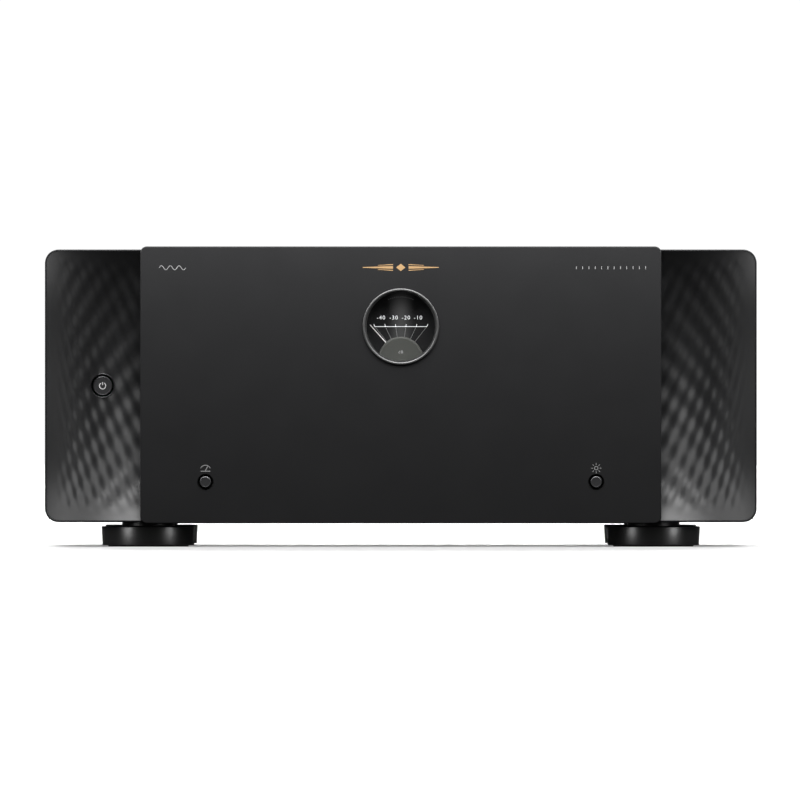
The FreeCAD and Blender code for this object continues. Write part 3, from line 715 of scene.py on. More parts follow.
@dataclass
class WavePanels:
    """The two scooped side panels and their relief of crossed waves."""

    depth: float = 25.5 * MM
    edge: float = 0.3 * MM
    pitch_up: float = 19.4 * MM
    narrowest: float = 2.6 * MM
    crowding: float = 0.065
    relief: float = 0.21 * MM
    border: float = 13.0 * MM
    border_inside: float = 2.5 * MM
    corner: float = 7.4 * MM
    thickness: float = 2.2 * MM
    button_hole: float = 7.3 * MM
    even_share: float = 0.65
    rows: int = 300
    columns: int = 150

    def _bowl(self, low: Vector, high: Vector) -> tuple[np.ndarray, np.ndarray, np.ndarray]:
        """Smooth scoop as (outward distance from the edge, height above middle, depth) grids.

        With the half height h and the width w, the depth is D sin a (1 - v v / h h) at a height v, where a
        is a quarter turn times u / w at a distance u in from the outer edge.
        """
        half = (high.z - low.z) / 2
        reach = high.x - low.x
        crowded = half * np.sin(np.linspace(-math.pi / 2, math.pi / 2, self.rows))
        v = crowded * (1 - self.even_share) + np.linspace(-half, half, self.rows) * self.even_share
        share = np.linspace(0, 1, self.columns)
        past = np.clip(np.abs(v) - half + self.corner, 0, None)
        start = self.corner - np.sqrt(np.clip(self.corner**2 - past**2, 0, None))
        u = start[:, None] + (reach - start[:, None]) * share[None]
        v = v[:, None] + 0 * u
        inward = np.sin(math.pi / 2 * u / reach)
        return u, v, self.edge + self.depth * inward * (1 - (v / half)**2)

    def _relief(self, u: np.ndarray, v: np.ndarray, half: float) -> np.ndarray:
        """Height of the relief: two crossed waves that share an upright pitch.

        Columns are counted from the outer edge by n = ln(1 + c u / s) / c, so that their spacing is s
        at the edge and grows by c times the distance. One wave is cos 2pi(v / P - n / 3) and the other
        cos 2pi(v / P + 2 n / 3). Their height grows with the root of the spacing, and fades out near the
        edges.
        """
        spacing = 1 + self.crowding * u / self.narrowest
        count = np.log(spacing) / self.crowding
        rise = v / self.pitch_up
        waves = np.cos(2 * math.pi * (rise - count / 3)) + np.cos(2 * math.pi * (rise + 2 * count / 3))
        fade = np.clip((np.minimum(0.75 * u, half - np.abs(v)) - self.border_inside) / self.border, 0, 1)
        return self.relief * np.sqrt(spacing / spacing.max()) * waves * fade * fade * (3 - 2 * fade)

    def _pierced(self, front: np.ndarray, back: np.ndarray, soup: Soup) -> None:
        """Add both faces of the left skin with a round hole for the power button's ring.

        Quads whose middle lies inside the hole are left out. Corners that are then too near the axis move
        out to the hole's radius, and the open edges of the two faces are joined by the hole's wall.
        """
        axis = centre_of("power_button")
        middle = np.array([axis.x, axis.z])
        sheets = []
        for sheet in (front, back):
            flat = sheet.reshape(-1, 3).copy()
            away = flat[:, [0, 2]] - middle
            reach = np.linalg.norm(away, axis=1)
            near = reach < self.button_hole
            stretch = self.button_hole / np.maximum(reach[near], 1e-9)
            flat[np.ix_(near, [0, 2])] = middle + away[near] * stretch[:, None]
            sheets.append(flat)
        faces = grid_faces(*front.shape[:2])
        centres = front.reshape(-1, 3)[faces][..., [0, 2]].mean(1)
        kept = faces[np.linalg.norm(centres - middle, axis=1) > self.button_hole]
        edges = np.sort(np.concatenate([kept[:, [k, (k + 1) % 4]] for k in range(4)]), axis=1)
        edges, uses = np.unique(edges, axis=0, return_counts=True)
        close = np.linalg.norm(sheets[0][edges[:, 0]][:, [0, 2]] - middle, axis=1) < 1.2 * self.button_hole
        rim = edges[(uses == 1) & close]
        count = len(sheets[0])
        wall = np.stack([rim[:, 0], rim[:, 1], rim[:, 1] + count, rim[:, 0] + count], 1)
        soup.add_faces(np.concatenate(sheets), np.concatenate([kept, kept + count, wall]))

    def build(self) -> None:
        """Make both panels, each bent out along its own surface by the relief."""
        self.skins = []
        for side, node in ((-1, "wave_panel_left"), (1, "wave_panel_right")):
            low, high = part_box(node)
            u, v, deep = self._bowl(low, high)
            outer = low.x if side < 0 else high.x
            base = np.stack([outer - side * u, low.y + deep, (low.z + high.z) / 2 + v], -1)
            normal = np.cross(np.gradient(base, axis=1), np.gradient(base, axis=0))
            normal /= np.linalg.norm(normal, axis=-1, keepdims=True) + 1e-12
            normal *= np.where(normal[..., 1:2] > 0, -1, 1)
            front = base + normal * self._relief(u, v, (high.z - low.z) / 2)[..., None]
            back = base + np.array([0, self.thickness, 0])
            soup = Soup()
            if side < 0:
                self._pierced(front, back, soup)
            else:
                soup.add(front).add(back)
            for edge in (np.s_[0], np.s_[-1], np.s_[:, 0], np.s_[:, -1]):
                soup.add(np.stack([front[edge], back[edge]]))
            skin = make_piece(node + "_skin", soup.mesh(), [Finishes.wave], "panel_resin", node, smooth=60)
            self.skins.append(skin)


@dataclass
class FrontPlate:
    """The floating plate's finish and the small print on its face."""

    print_height: float = 0.05 * MM
    ornament_z: float = 173.4 * MM
    ornament_half: float = 23.6 * MM
    ornament_tall: float = 4.6 * MM
    tag_z: float = 173.2 * MM
    left_tag: tuple[float, float] = (-150.0 * MM, -133.5 * MM)
    right_tag: tuple[float, float] = (109.0 * MM, 152.0 * MM)
    wave_half: float = 1.3 * MM
    stroke_half: float = 0.9 * MM
    fine_line: float = 0.35 * MM
    line: float = 0.4 * MM
    thick_line: float = 0.45 * MM
    icon_z: float = 48.8 * MM
    dial_radius: float = 3.4 * MM
    lamp_radius: float = 1.1 * MM
    ray: tuple[float, float] = (2.1 * MM, 3.2 * MM)

    def build(self) -> None:
        """Dress the plate and add its ornament, its corner marks and the button icons."""
        dress("front_plate", Finishes.plate)
        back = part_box("front_plate")[0].y
        self.faces = (back - self.print_height, back)
        make_piece("gold_ornament", self._ornament().mesh(), [Finishes.gold], "bezel_metal")
        for name, soup in (("corner_marks", self._corner_marks()), ("meter_icon", self._meter_icon()),
                           ("dimmer_icon", self._dimmer_icon())):
            make_piece(name, soup.mesh(), [Finishes.print_grey], "white_resin")

    def _ornament(self) -> Soup:
        """Gold ornament: a lozenge between two tapering bars, with two short bars beside each."""
        soup = Soup()
        z = self.ornament_z
        tall = self.ornament_tall / 2
        soup.fill([(0, z + tall), (tall * 1.25, z), (0, z - tall), (-tall * 1.25, z)], *self.faces)
        for side in (-1, 1):
            near = side * tall * 2.1
            far = side * self.ornament_half
            soup.fill([(near, z + tall * 0.36), (far, z + tall * 0.1), (far, z - tall * 0.1),
                       (near, z - tall * 0.36)], *self.faces)
            for rise in (-tall, tall):
                middle = (near + far) / 2
                soup.fill([(near, z + rise * 0.9), (middle, z + rise * 0.62), (middle, z + rise * 0.5),
                           (near, z + rise * 0.66)], *self.faces)
        return soup

    def _corner_marks(self) -> Soup:
        """Grey marks at the top corners: a small wave line, and a row of twelve short strokes."""
        soup = Soup()
        start, end = self.left_tag
        across = np.linspace(0, 1, 41)
        rise = self.wave_half * np.sin(across * 6 * math.pi)
        wave = np.stack([start + (end - start) * across, self.tag_z + rise], 1)
        soup.line(wave, self.fine_line, *self.faces)
        for place in np.linspace(*self.right_tag, 12):
            ends = [(place, self.tag_z - self.stroke_half), (place, self.tag_z + self.stroke_half)]
            soup.line(ends, self.line, *self.faces)
        return soup

    def _meter_icon(self) -> Soup:
        """Icon of a dial: an arc with a pointer over a base line, above the meter button."""
        x = centre_of("meter_button").x
        base = self.icon_z - 1.6 * MM
        soup = Soup()
        for points in (arc((x, base), self.dial_radius, -62, 62),
                       [(x, base), (x + 1.5 * MM, base + 2.9 * MM)],
                       [(x - 3.0 * MM, base - 0.3 * MM), (x + 3.0 * MM, base - 0.3 * MM)]):
            soup.line(points, self.thick_line, *self.faces)
        return soup

    def _dimmer_icon(self) -> Soup:
        """Icon of a lamp: a small ring with eight rays, above the dimmer button."""
        centre = (centre_of("dimmer_button").x, self.icon_z)
        soup = Soup().line(arc(centre, self.lamp_radius, 0, 345, 23), self.line, *self.faces, True)
        for turn in range(0, 360, 45):
            soup.line([arc(centre, reach, turn, turn, 1)[0] for reach in self.ray], self.line, *self.faces)
        return soup


@dataclass
class Buttons:
    """The turned caps, the rings round them and the power symbol."""

    power_radius: float = 5.95 * MM
    power_ring: float = 7.7 * MM
    small_radius: float = 3.5 * MM
    small_ring: float = 5.0 * MM
    cap_edge: float = 0.45 * MM
    cap_share: float = 0.7
    stem_share: float = 0.45
    dish: float = 0.12 * MM
    lip: float = 0.75 * MM
    clearance: float = 0.16 * MM
    symbol_radius: float = 1.95 * MM
    symbol_line: float = 0.5 * MM
    symbol_stroke: tuple[float, float] = (0.55 * MM, 2.35 * MM)

    def _cap(self, node: str, radius: float, finish: Finish) -> None:
        """Cap with a faintly dished face and a rounded edge, running back to its stem."""
        low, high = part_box(node)
        middle = centre_of(node)
        face = low.y + self.dish
        behind = low.y + (high.y - low.y) * self.cap_share
        neck = behind - 0.01 * (high.y - low.y)
        profile = rounded_path([(0, face, 0), (radius - self.cap_edge * 1.6, face, 1 * MM),
                                (radius - self.cap_edge, low.y, 0.1 * MM),
                                (radius, low.y + self.cap_edge, 0.25 * MM),
                                (radius, behind, 0), (0, behind, 0)])
        thin = radius * self.stem_share
        stem = rounded_path([(0, neck, 0), (thin, neck, 0), (thin, high.y, 0.2 * MM), (0, high.y, 0)])
        soup = Soup().turn(profile, (middle.x, middle.z)).turn(stem, (middle.x, middle.z), sides=24)
        make_piece(node + "_cap", soup.mesh(), [finish], "button_metal", node, body=node)

    def build(self) -> None:
        """Make the three caps, the three rings and the symbol."""
        rings = Soup()
        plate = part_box("front_plate")[0].y
        small = (self.small_radius, self.small_ring)
        for node, radius, ring in (("power_button", self.power_radius, self.power_ring),
                                   ("meter_button", *small), ("dimmer_button", *small)):
            middle = centre_of(node)
            finish = TurnedMetal(node + "_metal", (0.10, 0.10, 0.104), 0.42, 0.75, x=middle.x, z=middle.z)
            self._cap(node, radius, finish)
            if node == "power_button":
                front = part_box(node)[0].y
                self._symbol(middle, front)
                bore = ring - self.lip
                profile = [(bore, front + 0.35 * MM, 0.15 * MM), (ring, front + 0.1 * MM, 0.3 * MM),
                           (ring, front + 9 * MM, 0), (bore, front + 9 * MM, 0)]
            else:
                bore = radius + self.clearance
                profile = [(bore, plate + 3.6 * MM, 0.1 * MM), (ring - 0.3 * MM, plate + 0.9 * MM, 0.1 * MM),
                           (ring, plate + 0.8 * MM, 0.1 * MM), (ring, plate + 5 * MM, 0),
                           (bore, plate + 5 * MM, 0)]
            # The small rings take the near-black finish, which is partly painted shade for the gap round their
            # caps.
            number = int(ring == self.small_ring)
            rings.turn(rounded_path(profile, closed=True), (middle.x, middle.z), number, True)
        metal = BrushedMetal("ring_metal", (0.12, 0.12, 0.125), 0.28, 0.9, grain=0.2 * MM)
        make_piece("button_ring_set", rings.mesh(), [metal, Finishes.well], "ring_metal", "button_rings")

    def _symbol(self, middle: Vector, front: float) -> None:
        """Standby symbol on the power cap: an open ring with a stroke through its gap."""
        soup = Soup()
        face = front + self.dish - 0.05 * MM
        ring = arc((middle.x, middle.z), self.symbol_radius, 32, 328, 40)
        stroke = [(middle.x, middle.z + rise) for rise in self.symbol_stroke]
        for points in (ring, stroke):
            soup.line(points, self.symbol_line, face, face + 0.1 * MM)
        make_piece("power_symbol", soup.mesh(), [Finishes.symbol], "white_resin", body="power_button")


@dataclass
class Meter:
    """The round meter: bezel, glass, dial and its print, mask and needle."""

    outer: float = 23.7 * MM
    window: float = 22.25 * MM
    sight: float = 21.3 * MM
    lip: float = 0.85 * MM
    slope: float = 2.8 * MM
    flange: float = 1.6 * MM
    mask_radius: float = 14.0 * MM
    mask_thick: float = 0.8 * MM
    leg_radius: float = 1.0 * MM
    leg_place: tuple[float, float] = (8.5 * MM, -7.0 * MM)
    scale_rise: float = 0.1 * MM
    scale_half: float = 16.2 * MM
    scale_line: float = 0.28 * MM
    tick: float = 1.5 * MM
    tick_lean: float = 0.55 * MM
    tick_places: tuple[float, ...] = (-16.2, -9.6, -3.2, 3.2, 9.6, 16.2)
    ray_line: float = 0.22 * MM
    stroke_line: float = 0.18 * MM
    stroke_radii: tuple[float, float] = (18.2 * MM, 18.9 * MM)
    number_places: tuple[tuple[str, float], ...] = (
        ("-40", -12.3), ("-30", -4.4), ("-20", 3.2), ("-10", 10.7))
    number_rise: float = 5.7 * MM
    number_size: float = 2.5 * MM
    unit_size: float = 1.9 * MM
    unit_rise: float = 4.5 * MM
    needle_reach: float = 28.7 * MM
    needle_tail: float = 6.0 * MM
    print_height: float = 0.06 * MM

    def build(self) -> None:
        """Make every part of the meter."""
        joint = next(j for j in frame["joints"] if j["name"] == "meter_needle_swing")
        self.pivot = Vector(joint["pos_m"])
        self.centre = centre_of("meter_bezel")
        self.middle = (self.centre.x, self.centre.z)
        self.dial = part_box("meter_dial")[0].y
        self._bezel()
        self._glass()
        # The card's band of light is a painted glow.
        card = DialFace("dial_card_painted_glow", (0.006, 0.006, 0.007), 0.6, x=self.centre.x, z=self.centre.z)
        dress("meter_dial", card)
        dress("meter_housing", Finishes.black)
        dress("meter_movement", Finishes.black)
        self._print()
        self._mask()
        self._needle()

    def _bezel(self) -> None:
        """Turned ring with a bright rounded lip and a sloped inner wall."""
        low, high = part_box("meter_bezel")
        front = low.y
        start = high.y - 1 * MM
        profile = rounded_path([
            (self.window - 0.15 * MM, front + 1 * MM, 0), (self.window, front, self.lip),
            (self.outer, front, self.lip), (self.outer, front + 1 * MM, 0), (self.outer, start, 0),
            (self.outer + self.flange, start, 0), (self.outer + self.flange, high.y, 0),
            (self.sight, high.y, 0), (self.sight, front + self.slope, 0),
            (self.window, front + self.slope, 0)], closed=True)
        soup = Soup().turn(profile, self.middle, closed=True, sides=128)
        make_piece("meter_bezel_ring", soup.mesh(), [Finishes.bezel], "bezel_metal", "meter_bezel")

    def _glass(self) -> None:
        """Flat pane with a small ground edge."""
        low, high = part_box("meter_window")
        radius = (high.x - low.x) / 2
        edge = 0.25 * MM
        profile = rounded_path([(0, low.y, 0), (radius, low.y, edge), (radius, high.y, edge),
                                (0, high.y, 0)], 3)
        soup = Soup().turn(profile, self.middle, sides=96)
        make_piece("meter_glass_pane", soup.mesh(), [Finishes.glass], "meter_glass", "meter_window")

    def _ray(self, x: float, z: float, start: float) -> Outline:
        """Line from a point on the scale towards the pivot, down to a distance start from it."""
        reach = math.hypot(x - self.pivot.x, z - self.pivot.z)
        toward = np.array([(x - self.pivot.x) / reach, (z - self.pivot.z) / reach])
        ends = np.array([start, reach - 0.3 * MM])[:, None]
        return np.array([self.pivot.x, self.pivot.z]) + toward * ends

    def _print(self) -> None:
        """Scale line, ticks and numbers in white, dim rays below and a dim arc of fine strokes above."""
        faces = (self.dial - self.print_height, self.dial)
        middle = self.centre.x
        z = self.centre.z + self.scale_rise
        ends = [(middle - self.scale_half, z), (middle + self.scale_half, z)]
        white = Soup().line(ends, self.scale_line, *faces)
        faint = Soup()
        for place in self.tick_places:
            x = middle + place * MM
            lean = self.tick_lean * place / self.tick_places[-1]
            white.line([(x, z), (x + lean, z + self.tick)], self.scale_line, *faces)
            faint.line(self._ray(x, z, self.mask_radius - 1 * MM), self.ray_line, *faces)
        for turn in np.linspace(-24, 24, 13):
            ends = [arc(self.middle, radius, turn, turn, 1)[0] for radius in self.stroke_radii]
            faint.line(ends, self.stroke_line, *faces)
        row = self.centre.z + self.number_rise
        numbers = [written(text, self.number_size, (middle + x * MM, row), faces[0], self.print_height)
                   for text, x in self.number_places]
        make_piece("dial_scale", joined([white.mesh(), *numbers]), [Finishes.scale], "dial_face")
        make_piece("dial_rays", faint.mesh(), [Finishes.faint], "dial_face")

    def _mask(self) -> None:
        """Low dome over the pivot, cut off flat below, on its two legs, with the unit on its face."""
        low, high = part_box("meter_mask")
        rim = low.y + self.mask_thick
        radius = self.mask_radius
        profile = rounded_path([(0, low.y, 0), (radius - 1.2 * MM, low.y + 0.1 * MM, 1 * MM),
                                (radius, low.y + 0.45 * MM, 0.1 * MM), (radius, rim, 0.1 * MM), (0, rim, 0)])
        grid = turned(profile, (self.pivot.x, self.pivot.z), sides=96)
        grid[..., 2] = np.maximum(grid[..., 2], low.z)
        soup = Soup().add(grid, False, True)
        start = rim - 0.2 * MM
        leg = [(0, start), (self.leg_radius, start), (self.leg_radius, high.y), (0, high.y)]
        aside, rise = self.leg_place
        for x in (self.pivot.x - aside, self.pivot.x + aside):
            soup.turn(leg, (x, self.pivot.z + rise), sides=16)
        make_piece("meter_mask_dome", soup.mesh(), [Finishes.mask], "mask_grey", "meter_mask")
        unit = written("dB", self.unit_size, (self.pivot.x, self.pivot.z + self.unit_rise), low.y - 0.02 * MM,
                       self.print_height)
        make_piece("unit_mark", unit, [Finishes.legend], "mask_grey")

    def _needle(self) -> None:
        """Tapered pointer with hub, spindle and balance weight, at its rest angle."""
        low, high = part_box("meter_needle")
        front = low.y + 0.2 * MM
        lean = math.atan2(low.x - self.pivot.x, high.z - self.pivot.z)
        cos, sin = math.cos(lean), math.sin(lean)
        half = np.array([0.40, 0.36, 0.27, 0.22])[:, None] * MM
        along = np.array([-self.needle_tail, 0.0, self.needle_reach * 0.6, self.needle_reach])[:, None]
        section = np.array([(-1, 0), (0, -0.5), (1, 0), (1, 0.6), (-1, 0.6)])
        aside = section[None, :, 0] * half
        deep = front + section[None, :, 1] * 0.3 * MM + 0 * half
        across = self.pivot.x + aside * cos + along * sin
        grid = np.stack([across, deep, self.pivot.z - aside * sin + along * cos], -1)
        tail, tip = (np.repeat(end.mean(1, keepdims=True), 5, 1) for end in (grid[:1], grid[-1:]))
        soup = Soup().add(np.concatenate([tail, grid, tip]), False, True)
        face = front - 0.2 * MM
        hub = rounded_path([(0, face, 0), (2 * MM, face, 0.3 * MM), (2 * MM, front + 1 * MM, 0.2 * MM),
                            (0.7 * MM, front + 1 * MM, 0), (0.7 * MM, high.y, 0.1 * MM), (0, high.y, 0)])
        soup.turn(hub, (self.pivot.x, self.pivot.z), sides=32)
        weight = [(0, face), (1.2 * MM, face), (1.2 * MM, front + 0.8 * MM), (0, front + 0.8 * MM)]
        tail = (self.pivot.x - self.needle_tail * sin, self.pivot.z - self.needle_tail * cos)
        soup.turn(weight, tail, sides=24)
        make_piece("meter_pointer", soup.mesh(), [Finishes.needle], "needle_metal", "meter_needle",
                   body="meter_needle")


# ---------------------------------------------------------------- case


@dataclass
class Case:
    """Fascia, sheet metal, feet and screws."""

    foot_top: float = 29.1 * MM
    foot_bottom: float = 28.5 * MM
    foot_rise: float = 12.6 * MM
    neck: float = 16.35 * MM
    pad: float = 25.0 * MM
    pad_rise: float = 0.8 * MM

    def build(self) -> None:
        """Dress the sheet metal and make the feet."""
        dress("fascia_frame", Finishes.fascia)
        dress("edge_light_guides", Finishes.guide)
        for node in ("base_tray", "top_cover", "rear_panel"):
            dress(node, Finishes.case)
        dress("case_screws", Finishes.screw)
        self._feet()

    def _feet(self) -> None:
        """Turned feet with softened edges, a neck and a pad each."""
        low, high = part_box("feet")
        soup = Soup()
        profile = rounded_path([(0, self.pad_rise, 0), (self.foot_bottom, self.pad_rise, 0.5 * MM),
                                (self.foot_top, self.foot_rise, 0.7 * MM),
                                (self.neck, self.foot_rise, 0.3 * MM), (self.neck, high.z, 0), (0, high.z, 0)])
        pad = rounded_path([(0, 0, 0), (self.pad, 0, 0.3 * MM), (self.pad, self.pad_rise, 0),
                            (0, self.pad_rise, 0)])
        for x in (low.x + self.foot_top, high.x - self.foot_top):
            for y in (low.y + self.foot_top, high.y - self.foot_top):
                soup.turn(profile, (x, y), axis=Axis.UP, sides=96)
                soup.turn(pad, (x, y), 1, axis=Axis.UP)
        finishes = [Finishes.foot, Finishes.pad]
        self.feet = make_piece("turned_feet", soup.mesh(), finishes, "foot_resin", "feet")


# ---------------------------------------------------------------- back and inside


@dataclass
class SpeakerCaps:
    """Screw caps of the speaker posts: a metal core with a coloured, fluted grip."""

    flutes: int = 12
    flute_depth: float = 0.10
    sides: int = 96
    rows: int = 40
    bore: float = 4.1 * MM
    flange: float = 3.2 * MM
    tip: float = 2.3 * MM
    overlap: float = 0.1 * MM
    core_share: float = 0.6

    def build(self) -> None:
        """One piece for each cap."""
        for number in range(1, CHANNELS + 1):
            for pole, finish, slot in (("plus", Finishes.red, "red_resin"),
                                       ("minus", Finishes.cap_black, "cap_black_resin")):
                self._cap(f"speaker_cap_{number:02d}_{pole}", finish, slot)

    def _fluted(self, turn: np.ndarray, share: np.ndarray) -> np.ndarray:
        """Radius scale of the grip: a rounded hollow at each flute, fading at the grip's two ends."""
        hollow = np.clip(np.cos(turn * self.flutes) * 1.6 - 0.6, 0, 1)
        ends = np.clip(np.minimum(share, 1 - share) * 9, 0, 1)
        return 1 - self.flute_depth * hollow * ends

    def _cap(self, node: str, finish: Finish, slot: str) -> None:
        """Grip, front flange, end ring and the mouth for a plug."""
        low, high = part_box(node)
        middle = centre_of(node)
        centre = (middle.x, middle.z)
        radius = (high.x - low.x) / 2
        start, end = low.y, high.y
        mouth = self.core_share * radius
        edge = start + self.flange
        flange = rounded_path([(self.bore, start, 0), (radius, start, 0.5 * MM), (radius, edge, 0.5 * MM),
                               (self.bore, edge, 0)], 4)
        along = np.linspace(edge - 2 * self.overlap, end - self.tip + self.overlap, self.rows)
        grip = np.stack([np.full(self.rows, radius * 0.985), along], 1)
        rim = end - self.overlap
        tip = rounded_path([(radius * 0.97, end - self.tip, 0), (radius * 0.94, rim, 0.9 * MM),
                            (radius * 0.66, rim, 0.2 * MM), (radius * 0.62, end - 0.5 * MM, 0)], 4)
        core = rounded_path([(radius * 0.62, end - 0.6 * MM, 0), (mouth, end, 0.3 * MM),
                             (self.bore, end, 0.4 * MM), (self.bore, start, 0)], 4)
        soup = Soup().turn(flange, centre, 1, sides=self.sides)
        soup.turn(grip, centre, sides=self.sides, shape=self._fluted)
        soup.turn(tip, centre, sides=self.sides).turn(core, centre, 1, sides=self.sides)
        make_piece(node + "_grip", soup.mesh(), [finish, Finishes.nickel], slot, node, body=node)


@dataclass
class Back:
    """Connectors, mode switches and the printing round them."""

    print_height: float = 0.05 * MM
    sign_aside: float = 13.0 * MM
    sign_half: float = 1.4 * MM
    sign_line: float = 0.45 * MM
    numbers: tuple[tuple[float, float], ...] = ((3.4 * MM, 16.5 * MM), (3.0 * MM, 61.5 * MM))
    mark: tuple[float, float] = (3.4 * MM, 4.8 * MM)
    mark_line: float = 0.35 * MM
    travel: float = 3.0 * MM
    frame_half: float = 29.5 * MM
    frame: tuple[float, float] = (-78 * MM, -10.5 * MM)
    frame_line: float = 0.3 * MM

    def build(self) -> None:
        """Dress the connectors and print the panel."""
        for node, finish in (("binding_posts", Finishes.nickel), ("xlr_sockets", Finishes.black),
                             ("signal_jacks", Finishes.flash), ("mains_inlet", Finishes.black)):
            dress(node, finish)
        self.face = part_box("rear_panel")[1].y
        self.front = self.face + self.print_height
        texts = [text for number in range(1, CHANNELS + 1) for text in self._numbers(number)]
        marks = Soup()
        for number in range(1, CHANNELS + 1):
            self._signs(number, marks)
        for number in range(1, CHANNELS // 2 + 1):
            dress(f"mode_switch_knob_{number}", Finishes.white)
            self._pair(centre_of(f"mode_switch_knob_{number}"), marks)
        make_piece("rear_legend", joined([marks.mesh(), *texts]), [Finishes.legend], "white_resin")

    def _numbers(self, number: int) -> list[bpy.types.Mesh]:
        """A channel's number, over its posts and over its sockets."""
        plus = centre_of(f"speaker_cap_{number:02d}_plus")
        return [written(str(number), size, (plus.x, plus.z + rise), self.front, self.print_height, True)
                for size, rise in self.numbers]

    def _signs(self, number: int, marks: Soup) -> None:
        """Plus and minus signs beside a channel's caps."""
        for pole, strokes in (("plus", (0, 90)), ("minus", (90,))):
            cap = centre_of(f"speaker_cap_{number:02d}_{pole}")
            for turn in strokes:
                ends = arc((cap.x + self.sign_aside, cap.z), self.sign_half, turn, turn + 180, 1)
                marks.line(ends, self.sign_line, self.face, self.front)

    def _pair(self, knob: Vector, marks: Soup) -> None:
        """Marks at a mode switch's three places, and the two uprights beside its pair of channels."""
        places = [(shift, self.mark, self.mark_line) for shift in (-self.travel, 0, self.travel)]
        places += [(shift, self.frame, self.frame_line) for shift in (-self.frame_half, self.frame_half)]
        for shift, span, width in places:
            marks.line([(knob.x + shift, knob.z + rise) for rise in span], width, self.face, self.front)


class Inside:
    """Boards and heat sinks behind the slots."""

    def build(self) -> None:
        """Dress them."""
        for node in ("control_boards", "input_board", "amplifier_boards", "power_supply"):
            dress(node, Finishes.board)
        dress("heat_sinks", Finishes.bare)


# ---------------------------------------------------------------- studio


class Lights(Enum):
    """What a lamp may light."""

    OBJECT = "all but the floor"
    BODY = "all but the floor and the wave panels"
    PANELS = "the wave panels"
    FEET = "the feet"
    FLOOR = "the floor"


@dataclass(frozen=True)
class Lamp:
    """A soft box, whose size is its width and height, or a far-off light that fills one angle in degrees."""

    name: str
    size: tuple[float, ...]
    power: float
    place: tuple[float, float, float]
    target: tuple[float, float, float]
    lights: Lights


def lamps() -> list[Lamp]:
    """The lamps. The panels have a tent of their own, dim ahead and bright overhead, to show their relief."""
    front = (0.0, -0.2, 0.1)
    hung = [
        Lamp("brow", (1.4, 0.08), 2.6, (0.0, -0.3265, 0.29), (0.0, -0.2265, 0.15), Lights.BODY),
        Lamp("overhead", (1.8, 0.6), 34.0, (0.0, -0.5, 1.35), (0.0, -0.15, 0.1), Lights.BODY),
        Lamp("over_back", (1.6, 0.9), 16.0, (0.0, 1.6, 1.3), (0.0, 0.1, 0.1), Lights.OBJECT),
        Lamp("behind", (2.6, 1.2), 34.0, (0.0, 3.0, 0.9), (0.0, 0.2, 0.1), Lights.OBJECT),
        Lamp("canopy", (1.3, 1.6), 112.0, (0.0, -1.35, 2.6), front, Lights.PANELS),
        Lamp("front_sheet", (2.8, 1.1), 62.0, (0.0, -3.3, 0.78), front, Lights.PANELS),
        Lamp("window", (24.0,), 3.0, (0.0, 3.0, 0.5), (0.0, 0.0, 0.0), Lights.FLOOR),
        Lamp("sky", (110.0,), 2.3, (0.0, -0.01, 3.0), (0.0, 0.0, 0.0), Lights.FLOOR)]
    for side in (-1, 1):
        hung += [
            Lamp("flank", (2.0, 0.9), 18.0, (side * 2.9, -1.0, 0.46), (side * 0.18, -0.2, 0.1), Lights.PANELS),
            Lamp("wing", (0.9, 0.9), 9.0, (side * 1.9, 0.35, 0.75), (0.0, 0.0, 0.1), Lights.OBJECT),
            Lamp("foot_strip", (0.8, 1.6), 110.0, (side * 2.43, -1.96, 0.35), (0.0, -0.2, 0.08), Lights.FEET)]
    return hung


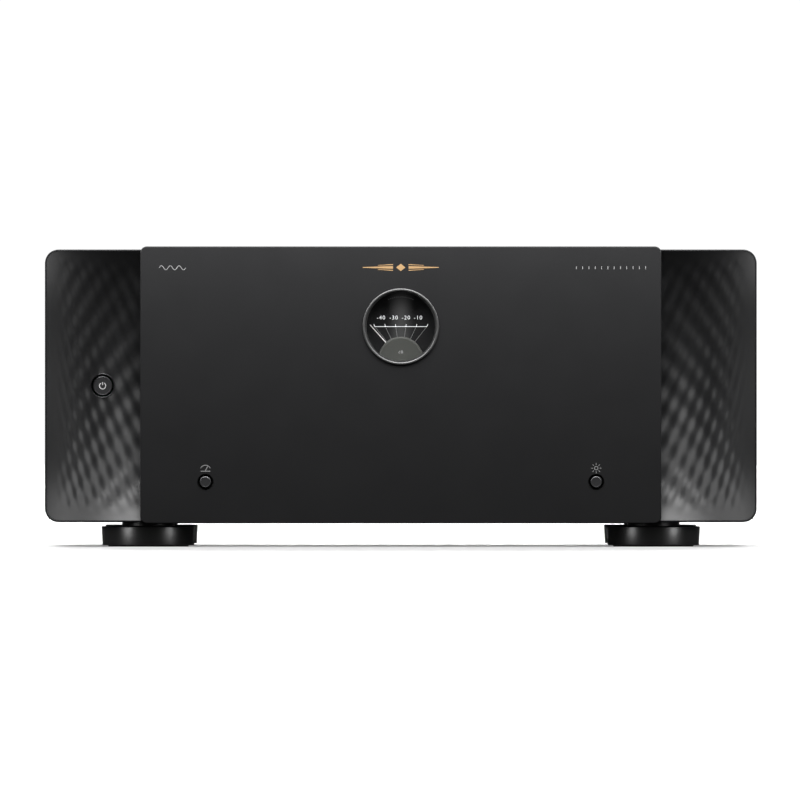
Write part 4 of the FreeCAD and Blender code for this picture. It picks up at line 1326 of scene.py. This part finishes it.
@dataclass
class Studio:
    """Pale floor, soft boxes and the camera, which stands straight in front."""

    distance: float = 24.0
    eye: float = 0.0911
    aside: float = -0.0005
    spread: float = 0.4966
    floor_half: float = 30.0
    glow: float = 0.20

    def build(self) -> None:
        """Make the floor, the backdrop's light and the camera."""
        self._floor()
        self._backdrop()
        self._camera()

    def _floor(self) -> None:
        """Large pale sheet that glows a little to the eye alone, as a lit table does."""
        edge = np.linspace(-self.floor_half, self.floor_half, 2)
        grid = np.stack(np.meshgrid(edge, edge, [0.0], indexing="ij"), -1)[:, :, 0]
        shade = Shade(bpy.data.materials.new("pale_floor"))
        eye = shade.node("ShaderNodeLightPath")
        pale = shade.mix(shade.noise(0.4, 2.0), (0.80, 0.80, 0.80), (0.84, 0.84, 0.84))
        surface = shade.node("ShaderNodeBsdfPrincipled", inputs={
            "Base Color": shade.mix(eye, (0.04, 0.04, 0.04), pale),
            "Roughness": 0.7, "Specular IOR Level": 0.1})
        glow = shade.node("ShaderNodeEmission", inputs={"Color": (1, 1, 1, 1), "Strength": eye * self.glow})
        both = shade.node("ShaderNodeAddShader", inputs={0: surface, 1: glow})
        shade.node("ShaderNodeOutputMaterial", inputs={"Surface": both})
        data = Soup().add(grid).mesh()
        data.materials.append(shade.owner)
        self.floor = bpy.data.objects.new("floor", data)
        bpy.context.scene.collection.objects.link(self.floor)

    def _backdrop(self) -> None:
        """White to the eye, dim to everything else."""
        shade = Shade(bpy.data.worlds.new("studio"))
        eye = shade.node("ShaderNodeLightPath")
        dim = shade.node("ShaderNodeBackground", inputs={0: (0.9, 0.95, 1.0, 1), 1: 0.035})
        white = shade.node("ShaderNodeBackground", inputs={0: (1, 1, 1, 1), 1: 1.05})
        both = shade.node("ShaderNodeMixShader", inputs={0: eye, 1: dim, 2: white})
        shade.node("ShaderNodeOutputWorld", inputs={0: both})
        bpy.context.scene.world = shade.owner
        bpy.context.scene.view_settings.view_transform = "Standard"

    def light(self, feet: bpy.types.Object, panels: list[bpy.types.Object]) -> None:
        """Hang every lamp, and keep its light to what it is for.

        Args:
            feet: The feet.
            panels: The two wave panels.
        """
        linked = {Lights.OBJECT: ([self.floor], "EXCLUDE"), Lights.BODY: ([self.floor, *panels], "EXCLUDE"),
                  Lights.PANELS: (panels, "INCLUDE"), Lights.FEET: ([feet], "INCLUDE"),
                  Lights.FLOOR: ([self.floor], "INCLUDE")}
        for lamp in lamps():
            near = len(lamp.size) == 2
            data = bpy.data.lights.new(lamp.name, "AREA" if near else "SUN")
            data.energy = lamp.power
            if near:
                data.shape = "RECTANGLE"
                data.size, data.size_y = lamp.size
            else:
                data.angle = math.radians(lamp.size[0])
            holder = bpy.data.objects.new(lamp.name, data)
            holder.location = lamp.place
            toward = Vector(lamp.target) - Vector(lamp.place)
            holder.rotation_euler = toward.to_track_quat("-Z", "Y").to_euler()
            holder.visible_camera = False
            group = bpy.data.collections.new(lamp.name + "_link")
            items, state = linked[lamp.lights]
            for item in items:
                group.objects.link(item)
            for entry in group.collection_objects:
                entry.light_linking.link_state = state
            holder.light_linking.receiver_collection = group
            bpy.context.scene.collection.objects.link(holder)

    def _camera(self) -> None:
        """Long lens, level, straight on."""
        lens = bpy.data.cameras.new("camera")
        lens.sensor_width = 36.0
        lens.lens = lens.sensor_width * self.distance / self.spread
        lens.clip_end = 100
        camera = bpy.data.objects.new("camera", lens)
        camera.location = (self.aside, cad_box[0].y - self.distance, self.eye)
        camera.rotation_euler = (math.radians(90), 0, 0)
        bpy.context.scene.collection.objects.link(camera)
        bpy.context.scene.camera = camera


def main() -> None:
    """Build every sub-assembly."""
    studio = Studio()
    case = Case()
    waves = WavePanels()
    for part in (studio, waves, FrontPlate(), Buttons(), Meter(), case, SpeakerCaps(), Back(), Inside()):
        part.build()
    studio.light(case.feet, waves.skins)


if __name__ == "__main__":
    main()
